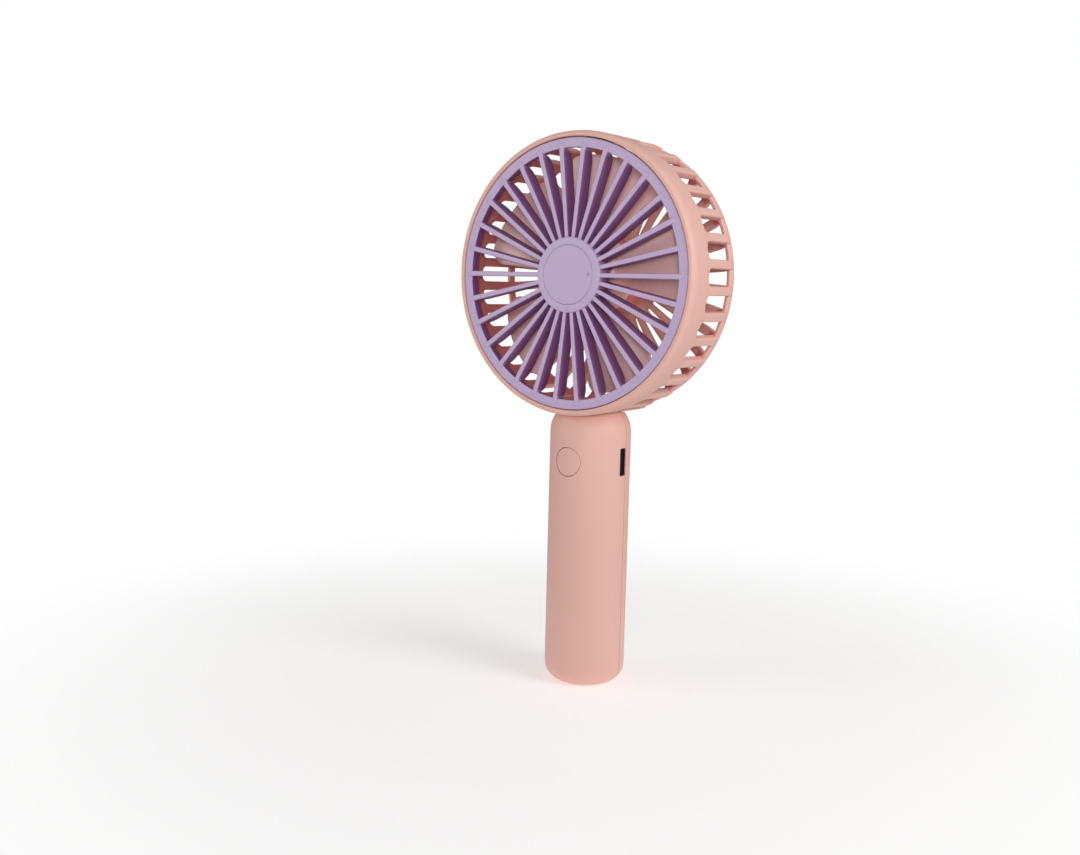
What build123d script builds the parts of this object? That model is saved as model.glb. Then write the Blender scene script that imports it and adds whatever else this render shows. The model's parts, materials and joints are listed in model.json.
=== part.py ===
from build123d import *
import math
import os

# Handheld electric fan, millimetres.  The origin is the centre of the handle's flat foot, +Z runs up the
# handle to the head, and the fan blows towards -Y.  "Depth" in the head is counted backwards (+Y) from the
# grille's front plane, and every piece of the head is drawn with its depth along Z, then turned into place.

# ---- Driving sizes: every piece ----
MERGE = 1.0  # how far joined shapes run into each other
OVERCUT = 1.0  # how far a cutter runs past the face it opens

# ---- Driving sizes: handle ----
CELL_RADIUS = 9.2  # 18650 cell with its sleeve
CELL_LENGTH = 65.0
CELL_CLEARANCE = 0.15  # cell to the cradle ribs
CRADLE_DEPTH = 4.5  # cell to the handle's inner wall
HANDLE_WALL = 1.8
FOOT_FILLET = 7.0
DOME_FILLET = 12.0  # shoulder of the handle under the head
DOME_RISE = 6.9  # from the start of the shoulder to the head's underside
CUSHION_THICKNESS = 2.3
TAB_THICKNESS = 0.2
CELL_TO_BOARD = 4.7
BOARD_HEIGHT = 20.0
BOARD_WIDTH = 19.2
BOARD_THICKNESS = 1.2
BOARD_TO_PLUG = 0.5
PLUG_LENGTH = 10.0  # the cage's neck plug, down inside the handle
PLUG_WIDTH = 13.0
PLUG_THICKNESS = 10.0
PLUG_CLEARANCE = 0.15
PARTING_Y = 1.2  # plane where the two handle shells meet
GROOVE_WIDTH = 0.24
GROOVE_DEPTH = 0.5
CRADLE_THICKNESS = 1.6
CRADLE_PLACES = (0.16, 0.5, 0.84)  # along the cell
SNAP_PLACES = (0.33, 0.67)
SNAP_HEIGHT = 6.0
SNAP_THICKNESS = 1.0
SNAP_REACH = 3.6
SNAP_HOOK = 0.7
SNAP_CLEARANCE = 0.12
SNAP_HOOK_THICKNESS = 1.2
BOSS_SINK = 0.72  # how far a screw boss runs into the rear shell's wall

# ---- Driving sizes: battery ----
CELL_EDGE = 0.5  # rounded edges of the cell
CELL_POLE_RADIUS = 2.8
INSULATOR_RISE = 0.6  # positive pole above the cell's can
INSULATOR_INSET = 0.7
INSULATOR_GAP = 0.3  # washer to the pole
TAB_MARGIN = 1.2  # nickel strip beyond its lead
TAB_FOOT = 4.0  # bottom strip, past the cell's middle
CELL_LEAD_X = 3.2
CELL_LEAD_GAP = 0.6  # negative lead to the cell
CUSHION_INSET = 1.2

# ---- Driving sizes: button, switch and charging socket ----
BUTTON_RADIUS = 5.4
BUTTON_GAP = 0.2
BUTTON_ABOVE_BOARD_FOOT = 13.1
BUTTON_FLANGE = 1.0  # how far the hidden flange stands out past the hole
BUTTON_FLANGE_THICKNESS = 1.0
BUTTON_TRAVEL = 0.5
BUTTON_STEM_RADIUS = 1.6
SWITCH_SIDE = 6.0
SWITCH_HEIGHT = 3.5
PLUNGER_RADIUS = 1.75
PLUNGER_PROUD = 3.6
PLUNGER_SEAT = 1.4  # how far the plunger sits in the switch at rest
PLUNGER_CLEARANCE = 0.08
PLUNGER_BOTTOM_GAP = 0.2  # under the plunger when it is fully pressed
BOARD_CORNER = 1.0
CHIPS = (  # x from, x to, height from, height to above the board's foot, thickness
    (0.5, 5.5, 8.5, 13.5, 1.5),
    (-4.5, -1.5, 10.0, 13.0, 1.1),
    (4.0, 6.0, 15.5, 18.5, 0.9),
    (-1.5, 0.5, 15.5, 16.7, 0.8),
)
INDUCTOR = {"radius": 2.2, "x": 3.2, "rise": 5.2, "height": 2.4}
SOCKET_WIDTH = 8.94
SOCKET_THICKNESS = 3.26
SOCKET_LENGTH = 7.3
SOCKET_WALL = 0.3
SOCKET_CORNER = 1.28
SOCKET_RECESS = 0.35  # mouth of the socket behind the handle's inner wall
PORT_HEIGHT = 10.6
PORT_MARGIN = 0.22  # port edge to the socket's shell, front side
PORT_CORNER = 0.6
PORT_SINK = 0.8  # port cut past the mouth of the socket
TONGUE_WIDTH = 6.7
TONGUE_THICKNESS = 0.7
TONGUE_BASE = 1.2
TONGUE_SET_BACK = 0.9  # tongue's tip behind the mouth of the socket

# ---- Driving sizes: head ----
IMPELLER_RADIUS = 44.5
TIP_GAP = 5.0  # blade tip to the cage's inner wall
SHELL_WALL = 1.5  # pierced drum between the ribs
RIB_PROUD = 1.3  # ribs and band stand this far out of the drum
FRONT_TO_AXIS = 17.6  # grille's front plane to the handle's axis
BAND_LENGTH = 11.0  # plain band at the front of the cage
LIP_WALL = 2.25
LIP_ROUND = 3.0
LIP_FLAT = 0.9
RECESS_DEPTH = 7.5
RIB_COUNT = 34
RIB_WIDTH = 3.0
RIB_ROOT_WIDTH = 1.7  # at the motor mount
RIB_DEPTH = 3.0
CORNER_RADIUS = 9.5
REAR_RING_WIDTH = 3.5
REAR_RING_INSET = 4.2  # back of the rear ring to the back of the cage
SLOT_WIDTH = 7.2
CLOSED_HALF_ANGLE = 17.0  # solid seat above the handle, each side of the bottom
WIRE_BAR_WIDTH = 5.0
MOUNT_WALL = 1.85
MOUNT_DEPTH = 11.0  # motor cup, from its mouth to the back plate
MOUNT_DISC_MARGIN = 3.6
REAR_CAP_RADIUS = 12.8
REAR_CAP_THICKNESS = 1.1
REAR_CAP_PROUD = 0.3
CAP_CLEARANCE = 0.06
CUP_NOTCH_SINK = 1.5  # notch for the leads, into the motor cup

# ---- Driving sizes: front grille ----
GRILLE_GAP = 0.35
RIM_WIDTH = 3.6
RIM_THICKNESS = 2.0
RIM_SET_BACK = 0.4  # rim behind the vanes' front
VANE_COUNT = 30
VANE_RIM_WIDTH = 2.0
VANE_HUB_WIDTH = 1.7
VANE_DEPTH = 6.0
VANE_CORNER = 5.0
VANE_OVERRUN = 2.1  # vane's end, over the rim
VANE_CORNER_INSET = 0.2  # where the deep part ends, outside the rim's inner edge
HUB_RADIUS = 13.85
HUB_PROUD = 0.77
HUB_PLATE = 2.4
HUB_WALL = 1.5
HUB_CAP_RADIUS = 10.9
HUB_CAP_THICKNESS = 1.0
HUB_CAP_EDGE = 0.2
HUB_EDGE = 0.616
SKIRT_WALL = 1.2
SKIRT_LENGTH = 4.2
LUG_COUNT = 3
LUG_SPAN = 10.0
LUG_THICKNESS = 1.4
LUG_CLEARANCE = 0.3
LUG_REACH = 0.75
LUG_STOP = 1.5  # degrees that the stop covers
LUG_SHORTER = 1.0  # degrees by which the grille's lug is the shorter one
LUG_TURN = 30.0  # direction of the first lug

# ---- Driving sizes: impeller and motor ----
IMPELLER_GAP = 2.5  # vanes' back to the impeller's front
IMPELLER_DEPTH = 13.0
IMPELLER_HUB_RADIUS = 14.5
IMPELLER_HUB_WALL = 1.4
IMPELLER_BOSS_RADIUS = 3.4
IMPELLER_BOSS_LENGTH = 8.5
BLADE_COUNT = 5
BLADE_SPAN = 50.0  # degrees that one blade covers
BLADE_RISE = 10.0  # depth between its two long edges
BLADE_CAMBER = 1.2
BLADE_THICKNESS = 1.3
BLADE_TIP_ROUND = 7.0
BLADE_START = 2.0  # degrees above +X of the first blade's middle
BLADE_STATIONS = (0.25, 0.6, 1.03)  # shares of the impeller's radius where a blade's section is set
BLADE_MARGIN = 1.05  # a section reaches past its final outline by this factor
MOTOR_NESTING = 2.0  # how far the impeller's hub reaches over the motor
MOTOR_RADIUS = 12.2
MOTOR_LENGTH = 12.0
MOTOR_WALL = 0.8
MOTOR_CUP_CLEARANCE = 0.15
MOTOR_NOSE_RADIUS = 3.6
MOTOR_NOSE_LENGTH = 1.2
END_CAP_PLUG = 1.8
END_CAP_FLANGE = 0.6
TERMINAL_SPACE = 1.6
SHAFT_RADIUS = 1.0
SHAFT_CLEARANCE = 0.02
BUSHING_RADIUS = 2.5
BUSHING_LENGTH = 2.4
MAGNET_THICKNESS = 1.8
MAGNET_SPAN = 130.0
AIR_GAP = 0.5
POLE_COUNT = 3
POLE_SHOE = 1.2
ROTOR_FRONT_GAP = 1.8  # can's floor to the core
ROTOR_BACK_GAP = 2.0  # core to the end cap
MAGNET_GAP = 0.4  # magnets to the can's floor and to the end cap
POLE_SPAN = 96.0
ARM_WIDTH = 3.0
CORE_RADIUS = 3.2
COIL_THICKNESS = 1.2
COIL_GAP = 0.15  # coil to the pole shoe
COIL_START = 1.3  # coil to the core's hub
COMMUTATOR_RADIUS = 2.4
COMMUTATOR_GAP = 0.4  # commutator to the end cap
BRUSH_GAP = 0.05
BRUSH_LENGTH = 1.7
BRUSH_WIDTH = 1.6
BRUSH_SET_BACK = 0.3  # brushes behind the coils
SHAFT_SET_BACK = 0.2  # shaft's end inside the end cap's back
TERMINAL_THICKNESS = 0.3
TERMINAL_INSET = 0.4
TERMINAL_LENGTH = 3.6

# ---- Driving sizes: screws and leads ----
NECK_SCREW = {"shank": 1.0, "head": 1.9, "head_height": 1.3, "length": 16.0}
BOARD_SCREW = {"shank": 0.8, "head": 1.6, "head_height": 1.0, "length": 6.2}
MOTOR_SCREW = {"shank": 1.0, "head": 1.9, "head_height": 1.0, "length": 3.8}
SCREW_CLEARANCE = 0.1
SCREW_TIP_SPACE = 0.2
SCREW_HEAD_SINK = 0.1  # motor screw heads under the rear cap
BOSS_WALL = 1.2
DRIVE_WIDTH = 0.5
NECK_SCREW_X = 4.3
NECK_SCREW_DROP = 6.0
BOARD_SCREW_INSET = 2.4
MOTOR_SCREW_RADIUS = 8.0
LEAD_RADIUS = 0.5
LEAD_BEND = 2.5
LEAD_SPACING = 1.7
LEAD_CLEARANCE = 0.25
LEAD_SOLDER = 2.8
LEAD_START = 2.0  # where the motor leads start, inside the motor's radius

# ---- Sizes that follow ----
INNER_RADIUS = CELL_RADIUS + CRADLE_DEPTH
HANDLE_RADIUS = INNER_RADIUS + HANDLE_WALL
CELL_BOTTOM = HANDLE_WALL + CUSHION_THICKNESS + TAB_THICKNESS
CELL_TOP = CELL_BOTTOM + CELL_LENGTH
BOARD_BOTTOM = CELL_TOP + CELL_TO_BOARD
BOARD_TOP = BOARD_BOTTOM + BOARD_HEIGHT
NECK_Z = BOARD_TOP + BOARD_TO_PLUG + PLUG_LENGTH  # underside of the head
BUTTON_Z = BOARD_BOTTOM + BUTTON_ABOVE_BOARD_FOOT
PORT_FRONT_Y = PARTING_Y - SOCKET_THICKNESS - 2 * PORT_MARGIN
SOCKET_Y = PARTING_Y - PORT_MARGIN - SOCKET_THICKNESS / 2
BOARD_FRONT_Y = SOCKET_Y + SOCKET_THICKNESS / 2
BOARD_BACK_Y = BOARD_FRONT_Y + BOARD_THICKNESS

DRUM_INNER = IMPELLER_RADIUS + TIP_GAP
DRUM_OUTER = DRUM_INNER + SHELL_WALL
HEAD_RADIUS = DRUM_OUTER + RIB_PROUD
HEAD_Z = NECK_Z + HEAD_RADIUS
IMPELLER_FRONT = VANE_DEPTH + IMPELLER_GAP
IMPELLER_BACK = IMPELLER_FRONT + IMPELLER_DEPTH
MOTOR_FRONT = IMPELLER_BACK - MOTOR_NESTING
MOTOR_BACK = MOTOR_FRONT + MOTOR_LENGTH
END_CAP_BACK = MOTOR_BACK + END_CAP_FLANGE
PLATE_INNER = END_CAP_BACK + TERMINAL_SPACE
HEAD_DEPTH = PLATE_INNER + RIB_DEPTH
REAR_RING_BACK = HEAD_DEPTH - REAR_RING_INSET
REAR_RING_FRONT = REAR_RING_BACK - REAR_RING_WIDTH
MOUNT_INNER = MOTOR_RADIUS + MOTOR_CUP_CLEARANCE
MOUNT_OUTER = MOUNT_INNER + MOUNT_WALL
MOUNT_DISC = MOUNT_OUTER + MOUNT_DISC_MARGIN
CAP_FLOOR = HEAD_DEPTH - (REAR_CAP_THICKNESS - REAR_CAP_PROUD)
LIP_INNER = HEAD_RADIUS - LIP_WALL
GRILLE_RADIUS = LIP_INNER - GRILLE_GAP
RIM_INNER = GRILLE_RADIUS - RIM_WIDTH
RIM_BACK = RIM_SET_BACK + RIM_THICKNESS
MAGNET_OUTER = MOTOR_RADIUS - MOTOR_WALL
MAGNET_INNER = MAGNET_OUTER - MAGNET_THICKNESS
ROTOR_RADIUS = MAGNET_INNER - AIR_GAP
ROTOR_FRONT = MOTOR_FRONT + MOTOR_WALL + ROTOR_FRONT_GAP
ROTOR_BACK = MOTOR_BACK - END_CAP_PLUG - ROTOR_BACK_GAP
LEAD_Y = BOARD_FRONT_Y - LEAD_RADIUS  # leads lie on the board's front face
LEAD_XS = (-LEAD_SPACING / 2, LEAD_SPACING / 2)
NECK_SCREW_Z = NECK_Z - NECK_SCREW_DROP
NECK_SCREW_XS = (-NECK_SCREW_X, NECK_SCREW_X)
BOARD_SIDE = BOARD_WIDTH / 2 - BOARD_SCREW_INSET
BOARD_SCREW_PLACES = [
    (-BOARD_SIDE, BOARD_BOTTOM + BOARD_SCREW_INSET),
    (BOARD_SIDE, BOARD_BOTTOM + BOARD_SCREW_INSET),
    (-BOARD_SIDE, BOARD_TOP - BOARD_SCREW_INSET),
]
MOTOR_SCREW_SEAT = CAP_FLOOR - MOTOR_SCREW["head_height"] - SCREW_HEAD_SINK
TERMINAL_END = MOTOR_RADIUS - TERMINAL_INSET
SHAFT_FRONT = IMPELLER_FRONT + IMPELLER_HUB_WALL
BLADE_MIDDLE = (IMPELLER_FRONT + IMPELLER_BACK) / 2
COMMUTATOR_BACK = MOTOR_BACK - END_CAP_PLUG - COMMUTATOR_GAP
SWITCH_FRONT = BOARD_FRONT_Y - SWITCH_HEIGHT
PLUNGER_FRONT = SWITCH_FRONT - PLUNGER_PROUD
SOCKET_MOUTH = INNER_RADIUS - SOCKET_RECESS
CELL_LEAD_Y = CELL_RADIUS + LEAD_RADIUS + CELL_LEAD_GAP
ARC_MIDDLE = math.sqrt(0.5)  # both parts of the middle of a quarter arc of radius one

HEAD_PLACE = Plane(origin=(0, -FRONT_TO_AXIS, HEAD_Z), x_dir=(1, 0, 0), z_dir=(0, 1, 0)).location
DOWN = 90.0  # direction of the handle, in the head's own turn about its axis


# ---- Helpers ----
def rod(radius, low, high):
    """Round bar about Z between two heights."""
    return Pos(0, 0, (low + high) / 2) * Cylinder(radius, high - low)


def ring(inner, outer, low, high):
    """Tube about Z between two heights."""
    return rod(outer, low, high) - rod(inner, low - OVERCUT, high + OVERCUT)


def block(x0, x1, y0, y1, z0, z1):
    """Box between two corners."""
    return Pos((x0 + x1) / 2, (y0 + y1) / 2, (z0 + z1) / 2) * Box(x1 - x0, y1 - y0, z1 - z0)


def y_rod(radius, x, z, low, high):
    """Round bar along Y between two depths."""
    return Pos(x, (low + high) / 2, z) * Rot(90, 0, 0) * Cylinder(radius, high - low)


def turned(outline, arc=360.0):
    """Solid turned about Z from an outline of radius and height."""
    return revolve(Plane.XZ * outline, Axis.Z, arc)


def sector(inner, outer, low, high, middle, span):
    """Part of a tube that covers one span of angle, centred on a direction in degrees."""
    half = span / 2
    profile = Pos((inner + outer) / 2, (low + high) / 2) * Rectangle(outer - inner, high - low)
    return Rot(0, 0, middle - half) * turned(profile, span)


def around(piece, count, first=0.0):
    """Equal copies of a piece about Z."""
    return [Rot(0, 0, first + 360.0 * i / count) * piece for i in range(count)]


def on_head(piece):
    """Turns a piece drawn in the head's own frame into its place on the fan."""
    return HEAD_PLACE * piece


def screw(sizes):
    """Pan-head screw along +Z: the head below zero, the shank above, a cross slot in the head."""
    body = rod(sizes["head"], -sizes["head_height"], 0) + rod(sizes["shank"], 0, sizes["length"])
    reach, bottom = sizes["head"] * 0.6, -sizes["head_height"] * 0.4
    slot = block(-reach, reach, -DRIVE_WIDTH / 2, DRIVE_WIDTH / 2, bottom - sizes["head_height"], bottom)
    return body - [slot, Rot(0, 0, 90) * slot]


def lead(points, bends):
    """Insulated lead along straight runs joined by tangent arcs."""
    path = FilletPolyline(*points, radius=bends)
    start = Plane(origin=path @ 0, z_dir=path % 0)
    return sweep(start * Circle(LEAD_RADIUS), path=path)


# ---- Head: cage ----
def cage_band():
    """Front band with its rounded lip, and the pierced drum behind it down to the rear ring."""
    lip_middle = (
        HEAD_RADIUS - (LIP_WALL - LIP_FLAT) * (1 - ARC_MIDDLE),
        LIP_ROUND * (1 - ARC_MIDDLE),
    )
    edge = Polyline(
        (HEAD_RADIUS, LIP_ROUND),
        (HEAD_RADIUS, BAND_LENGTH),
        (DRUM_OUTER, BAND_LENGTH),
        (DRUM_OUTER, REAR_RING_BACK),
        (DRUM_INNER, REAR_RING_BACK),
        (DRUM_INNER, RECESS_DEPTH),
        (LIP_INNER, RECESS_DEPTH),
        (LIP_INNER, 0),
        (LIP_INNER + LIP_FLAT, 0),
    )
    lip = ThreePointArc((LIP_INNER + LIP_FLAT, 0), lip_middle, (HEAD_RADIUS, LIP_ROUND))
    return turned(make_face([edge, lip]))


def slot_cutter():
    """Slot through the drum along +X: a full round at its front end, square at the rear ring."""
    radius = SLOT_WIDTH / 2
    face = Plane(origin=(DRUM_INNER - OVERCUT, 0, 0), x_dir=(0, 0, 1), z_dir=(1, 0, 0))
    straight = REAR_RING_FRONT - BAND_LENGTH - radius
    outline = Pos(BAND_LENGTH + radius, 0) * Circle(radius)
    outline += Pos(BAND_LENGTH + radius + straight / 2, 0) * Rectangle(straight, SLOT_WIDTH)
    return extrude(face * outline, SHELL_WALL + RIB_PROUD + 2 * OVERCUT)


def cage_rib():
    """One rib along +X: straight down the drum, round the rear corner, and in to the motor mount."""
    centre_r, centre_d = HEAD_RADIUS - CORNER_RADIUS, HEAD_DEPTH - CORNER_RADIUS
    small = CORNER_RADIUS - RIB_DEPTH
    start, end = BAND_LENGTH - MERGE, MOUNT_DISC - 2 * MERGE
    inside = HEAD_RADIUS - RIB_DEPTH
    outline = make_face(
        [
            Line((HEAD_RADIUS, start), (HEAD_RADIUS, centre_d)),
            ThreePointArc(
                (HEAD_RADIUS, centre_d),
                (centre_r + CORNER_RADIUS * ARC_MIDDLE, centre_d + CORNER_RADIUS * ARC_MIDDLE),
                (centre_r, HEAD_DEPTH),
            ),
            Line((centre_r, HEAD_DEPTH), (end, HEAD_DEPTH)),
            Polyline((end, HEAD_DEPTH), (end, PLATE_INNER), (centre_r, PLATE_INNER)),
            ThreePointArc(
                (centre_r, PLATE_INNER),
                (centre_r + small * ARC_MIDDLE, centre_d + small * ARC_MIDDLE),
                (inside, centre_d),
            ),
            Polyline((inside, centre_d), (inside, start), (HEAD_RADIUS, start)),
        ]
    )
    side = extrude(Plane.XZ * outline, RIB_WIDTH, both=True)
    root, full = RIB_ROOT_WIDTH / 2, RIB_WIDTH / 2
    plan = Polygon(
        (end - OVERCUT, root),
        (end - OVERCUT, -root),
        (centre_r, -full),
        (HEAD_RADIUS + OVERCUT, -full),
        (HEAD_RADIUS + OVERCUT, full),
        (centre_r, full),
        align=None,
    )
    return side & extrude(plan, HEAD_DEPTH + OVERCUT)


def motor_mount():
    """Cup and back plate that hold the motor, with the notch that lets its leads out."""
    mouth = PLATE_INNER - MOUNT_DEPTH
    cup = ring(MOUNT_INNER, MOUNT_OUTER, mouth, PLATE_INNER + MERGE)
    plate = rod(MOUNT_DISC, PLATE_INNER, HEAD_DEPTH)
    well = rod(REAR_CAP_RADIUS + CAP_CLEARANCE, CAP_FLOOR, HEAD_DEPTH + OVERCUT)
    half = LEAD_SPACING / 2 + LEAD_RADIUS + LEAD_CLEARANCE
    start = MOUNT_INNER - CUP_NOTCH_SINK
    notch = block(-half, half, start, MOUNT_OUTER + OVERCUT, END_CAP_BACK - LEAD_CLEARANCE, PLATE_INNER)
    return cup + plate, [well, notch]


def motor_screw_places():
    """The two screws that hold the motor, in the head's frame."""
    return [Pos(side * MOTOR_SCREW_RADIUS, 0, 0) for side in (-1, 1)]


def rear_cage():
    """Band, drum, ribs, rear ring, motor mount and neck plug as one moulding."""
    pitch = 360.0 / RIB_COUNT
    directions = [pitch * i for i in range(RIB_COUNT)]
    open_ones = [a for a in directions if abs(a - DOWN) > CLOSED_HALF_ANGLE]
    drum = cage_band() + around(cage_lug(), LUG_COUNT, LUG_TURN)
    drum -= [Rot(0, 0, a) * slot_cutter() for a in open_ones]
    seat_front, seat_span = BAND_LENGTH - MERGE, 2 * CLOSED_HALF_ANGLE
    seat = sector(DRUM_INNER, HEAD_RADIUS, seat_front, REAR_RING_BACK, DOWN, seat_span)
    mount, mount_cuts = motor_mount()
    bar_end = HEAD_RADIUS - CORNER_RADIUS
    half_bar = WIRE_BAR_WIDTH / 2
    bar = block(-half_bar, half_bar, MOUNT_DISC - MERGE, bar_end, PLATE_INNER, HEAD_DEPTH)
    head = drum + around(cage_rib(), RIB_COUNT, pitch / 2) + [seat, mount, bar] - mount_cuts
    plug_top = NECK_Z + SHELL_WALL
    plug = block(
        -PLUG_WIDTH / 2,
        PLUG_WIDTH / 2,
        -PLUG_THICKNESS / 2,
        PLUG_THICKNESS / 2,
        NECK_Z - PLUG_LENGTH,
        plug_top,
    )
    half = LEAD_SPACING / 2 + LEAD_RADIUS + LEAD_CLEARANCE
    depth = LEAD_RADIUS + LEAD_CLEARANCE
    top = HEAD_Z - DRUM_INNER + 2 * OVERCUT
    way = block(-half, half, LEAD_Y - depth, LEAD_Y + depth, NECK_Z - PLUG_LENGTH - OVERCUT, top)
    way += block(-half, half, LEAD_Y, LEAD_Y + depth + LEAD_BEND / 2, NECK_Z + OVERCUT, top)
    holes = [
        y_rod(NECK_SCREW["shank"] + SCREW_CLEARANCE, x, NECK_SCREW_Z, -PLUG_THICKNESS, PLUG_THICKNESS)
        for x in NECK_SCREW_XS
    ]
    motor_holes = [
        on_head(place * hole)
        for place in motor_screw_places()
        for hole in (
            rod(MOTOR_SCREW["shank"] + SCREW_CLEARANCE, PLATE_INNER - OVERCUT, HEAD_DEPTH),
            rod(MOTOR_SCREW["head"] + SCREW_CLEARANCE, MOTOR_SCREW_SEAT, HEAD_DEPTH),
        )
    ]
    return on_head(head) + plug - [way, *holes, *motor_holes]


def cage_lug():
    """Lug inside the lip that holds the grille, with the stop that its lug turns against."""
    low = RIM_BACK + LUG_CLEARANCE
    reach = LIP_INNER - LUG_REACH
    outer = LIP_INNER + MERGE
    lug = sector(reach, outer, low, low + LUG_THICKNESS, 0, LUG_SPAN)
    stop_depth = low + 2 * LUG_THICKNESS + LUG_CLEARANCE
    stop = sector(reach, outer, low, stop_depth, -LUG_SPAN / 2 - LUG_STOP / 2, LUG_STOP)
    return lug + stop


def rear_hub_cap():
    """Shallow disc that covers the motor screws at the back, with a softened edge."""
    disc = rod(REAR_CAP_RADIUS, CAP_FLOOR, CAP_FLOOR + REAR_CAP_THICKNESS)
    return on_head(fillet(disc.edges().sort_by(Axis.Z)[-1], REAR_CAP_PROUD))


# ---- Head: front grille ----
def vane():
    """One vane along +X: a thin plate, deep near the hub and shallow where it crosses the rim."""
    end = GRILLE_RADIUS - RIM_WIDTH + VANE_OVERRUN
    start = HUB_RADIUS - HUB_WALL / 2
    corner = RIM_INNER + VANE_CORNER_INSET
    low = RIM_BACK
    drop = VANE_DEPTH - low
    outline = make_face(
        [
            Polyline((corner, low), (end, low), (end, 0), (start, 0), (start, VANE_DEPTH)),
            Line((start, VANE_DEPTH), (corner - VANE_CORNER, VANE_DEPTH)),
            ThreePointArc(
                (corner - VANE_CORNER, VANE_DEPTH),
                (corner - VANE_CORNER * (1 - ARC_MIDDLE), low + drop * ARC_MIDDLE),
                (corner, low),
            ),
        ]
    )
    plate = extrude(Plane.XZ * outline, VANE_RIM_WIDTH, both=True)
    hub, rim = VANE_HUB_WIDTH / 2, VANE_RIM_WIDTH / 2
    plan = Polygon((start, -hub), (end, -rim), (end, rim), (start, hub), align=None)
    return plate & extrude(plan, VANE_DEPTH)


def front_grille():
    """Rim, vanes and hub as one moulding, with the skirt and lugs that lock it in the lip."""
    rim = ring(RIM_INNER, GRILLE_RADIUS, RIM_SET_BACK, RIM_BACK)
    hub = rod(HUB_RADIUS, -HUB_PROUD, VANE_DEPTH)
    hub -= rod(HUB_RADIUS - HUB_WALL, HUB_PLATE - HUB_PROUD, VANE_DEPTH + OVERCUT)
    hub = fillet(hub.edges().sort_by(Axis.Z)[0], HUB_EDGE)
    hub -= rod(HUB_CAP_RADIUS + CAP_CLEARANCE, -HUB_PROUD - OVERCUT, HUB_CAP_THICKNESS - HUB_PROUD)
    reach = LIP_INNER - LUG_REACH - LUG_CLEARANCE
    skirt = ring(reach - SKIRT_WALL, reach, RIM_BACK - RIM_THICKNESS / 2, RIM_BACK + SKIRT_LENGTH)
    low = RIM_BACK + 2 * LUG_CLEARANCE + LUG_THICKNESS
    span = LUG_SPAN - LUG_SHORTER
    lug = sector(reach - SKIRT_WALL / 2, GRILLE_RADIUS, low, low + LUG_THICKNESS, 0, span)
    pieces = [hub, skirt, *around(vane(), VANE_COUNT), *around(lug, LUG_COUNT, LUG_TURN)]
    return on_head(rim + pieces)


def grille_hub_cap():
    """Disc in the middle of the grille's hub."""
    disc = rod(HUB_CAP_RADIUS, -HUB_PROUD, HUB_CAP_THICKNESS - HUB_PROUD)
    return on_head(fillet(disc.edges().sort_by(Axis.Z)[0], HUB_CAP_EDGE))


# ---- Head: impeller ----
def blade_section(radius):
    """Slanted, cambered section of a blade on a plane square to its middle radius."""
    half = radius * math.tan(math.radians(BLADE_SPAN / 2)) * BLADE_MARGIN
    rise = BLADE_RISE / 2 * BLADE_MARGIN
    thick = BLADE_THICKNESS / 2
    front = ThreePointArc((-half, -rise - thick), (0, -BLADE_CAMBER - thick), (half, rise - thick))
    back = ThreePointArc((half, rise + thick), (0, -BLADE_CAMBER + thick), (-half, -rise + thick))
    ends = [Line(front @ 1, back @ 0), Line(back @ 1, front @ 0)]
    place = Plane(origin=(radius, 0, BLADE_MIDDLE), x_dir=(0, 1, 0), z_dir=(1, 0, 0))
    return place * make_face([front, ends[0], back, ends[1]])


def blade():
    """One blade along +X: a twisted plate with rounded tip corners."""
    inner = IMPELLER_HUB_RADIUS - IMPELLER_HUB_WALL / 2
    body = loft([blade_section(IMPELLER_RADIUS * share) for share in BLADE_STATIONS])
    half = math.radians(BLADE_SPAN / 2)
    ends = [(IMPELLER_RADIUS * math.cos(a), IMPELLER_RADIUS * math.sin(a)) for a in (-half, half)]
    roots = [(inner * math.cos(a), inner * math.sin(a)) for a in (-half, half)]
    tip = ThreePointArc(ends[0], (IMPELLER_RADIUS, 0), ends[1])
    root = ThreePointArc(roots[1], (inner, 0), roots[0])
    plan = make_face([tip, Line(ends[1], roots[1]), root, Line(roots[0], ends[0])])
    corners = plan.vertices().sort_by(Axis.X)[-2:]
    plan = fillet(corners, BLADE_TIP_ROUND)
    low = BLADE_MIDDLE - BLADE_RISE
    return body & (Pos(0, 0, low) * extrude(plan, 2 * BLADE_RISE))


def impeller():
    """Hub cup with its shaft boss and blades."""
    hub = rod(IMPELLER_HUB_RADIUS, IMPELLER_FRONT, IMPELLER_BACK)
    hub = fillet(hub.edges().sort_by(Axis.Z)[0], IMPELLER_HUB_WALL)
    inner = IMPELLER_HUB_RADIUS - IMPELLER_HUB_WALL
    hub -= rod(inner, IMPELLER_FRONT + IMPELLER_HUB_WALL, IMPELLER_BACK + OVERCUT)
    boss_front = IMPELLER_FRONT + IMPELLER_HUB_WALL / 2
    hub += rod(IMPELLER_BOSS_RADIUS, boss_front, IMPELLER_FRONT + IMPELLER_BOSS_LENGTH)
    hub += around(blade(), BLADE_COUNT, -BLADE_START)
    return on_head(hub - rod(SHAFT_RADIUS, SHAFT_FRONT, IMPELLER_BACK))


# ---- Head: motor ----
def motor_can():
    """Drawn steel cup with the nose that holds the front bushing."""
    can = rod(MOTOR_RADIUS, MOTOR_FRONT, MOTOR_BACK)
    can += rod(MOTOR_NOSE_RADIUS, MOTOR_FRONT - MOTOR_NOSE_LENGTH, MOTOR_FRONT)
    can -= rod(MAGNET_OUTER, MOTOR_FRONT + MOTOR_WALL, MOTOR_BACK + OVERCUT)
    return on_head(can - rod(BUSHING_RADIUS, MOTOR_FRONT - MOTOR_NOSE_LENGTH - OVERCUT, MOTOR_BACK))


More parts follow.
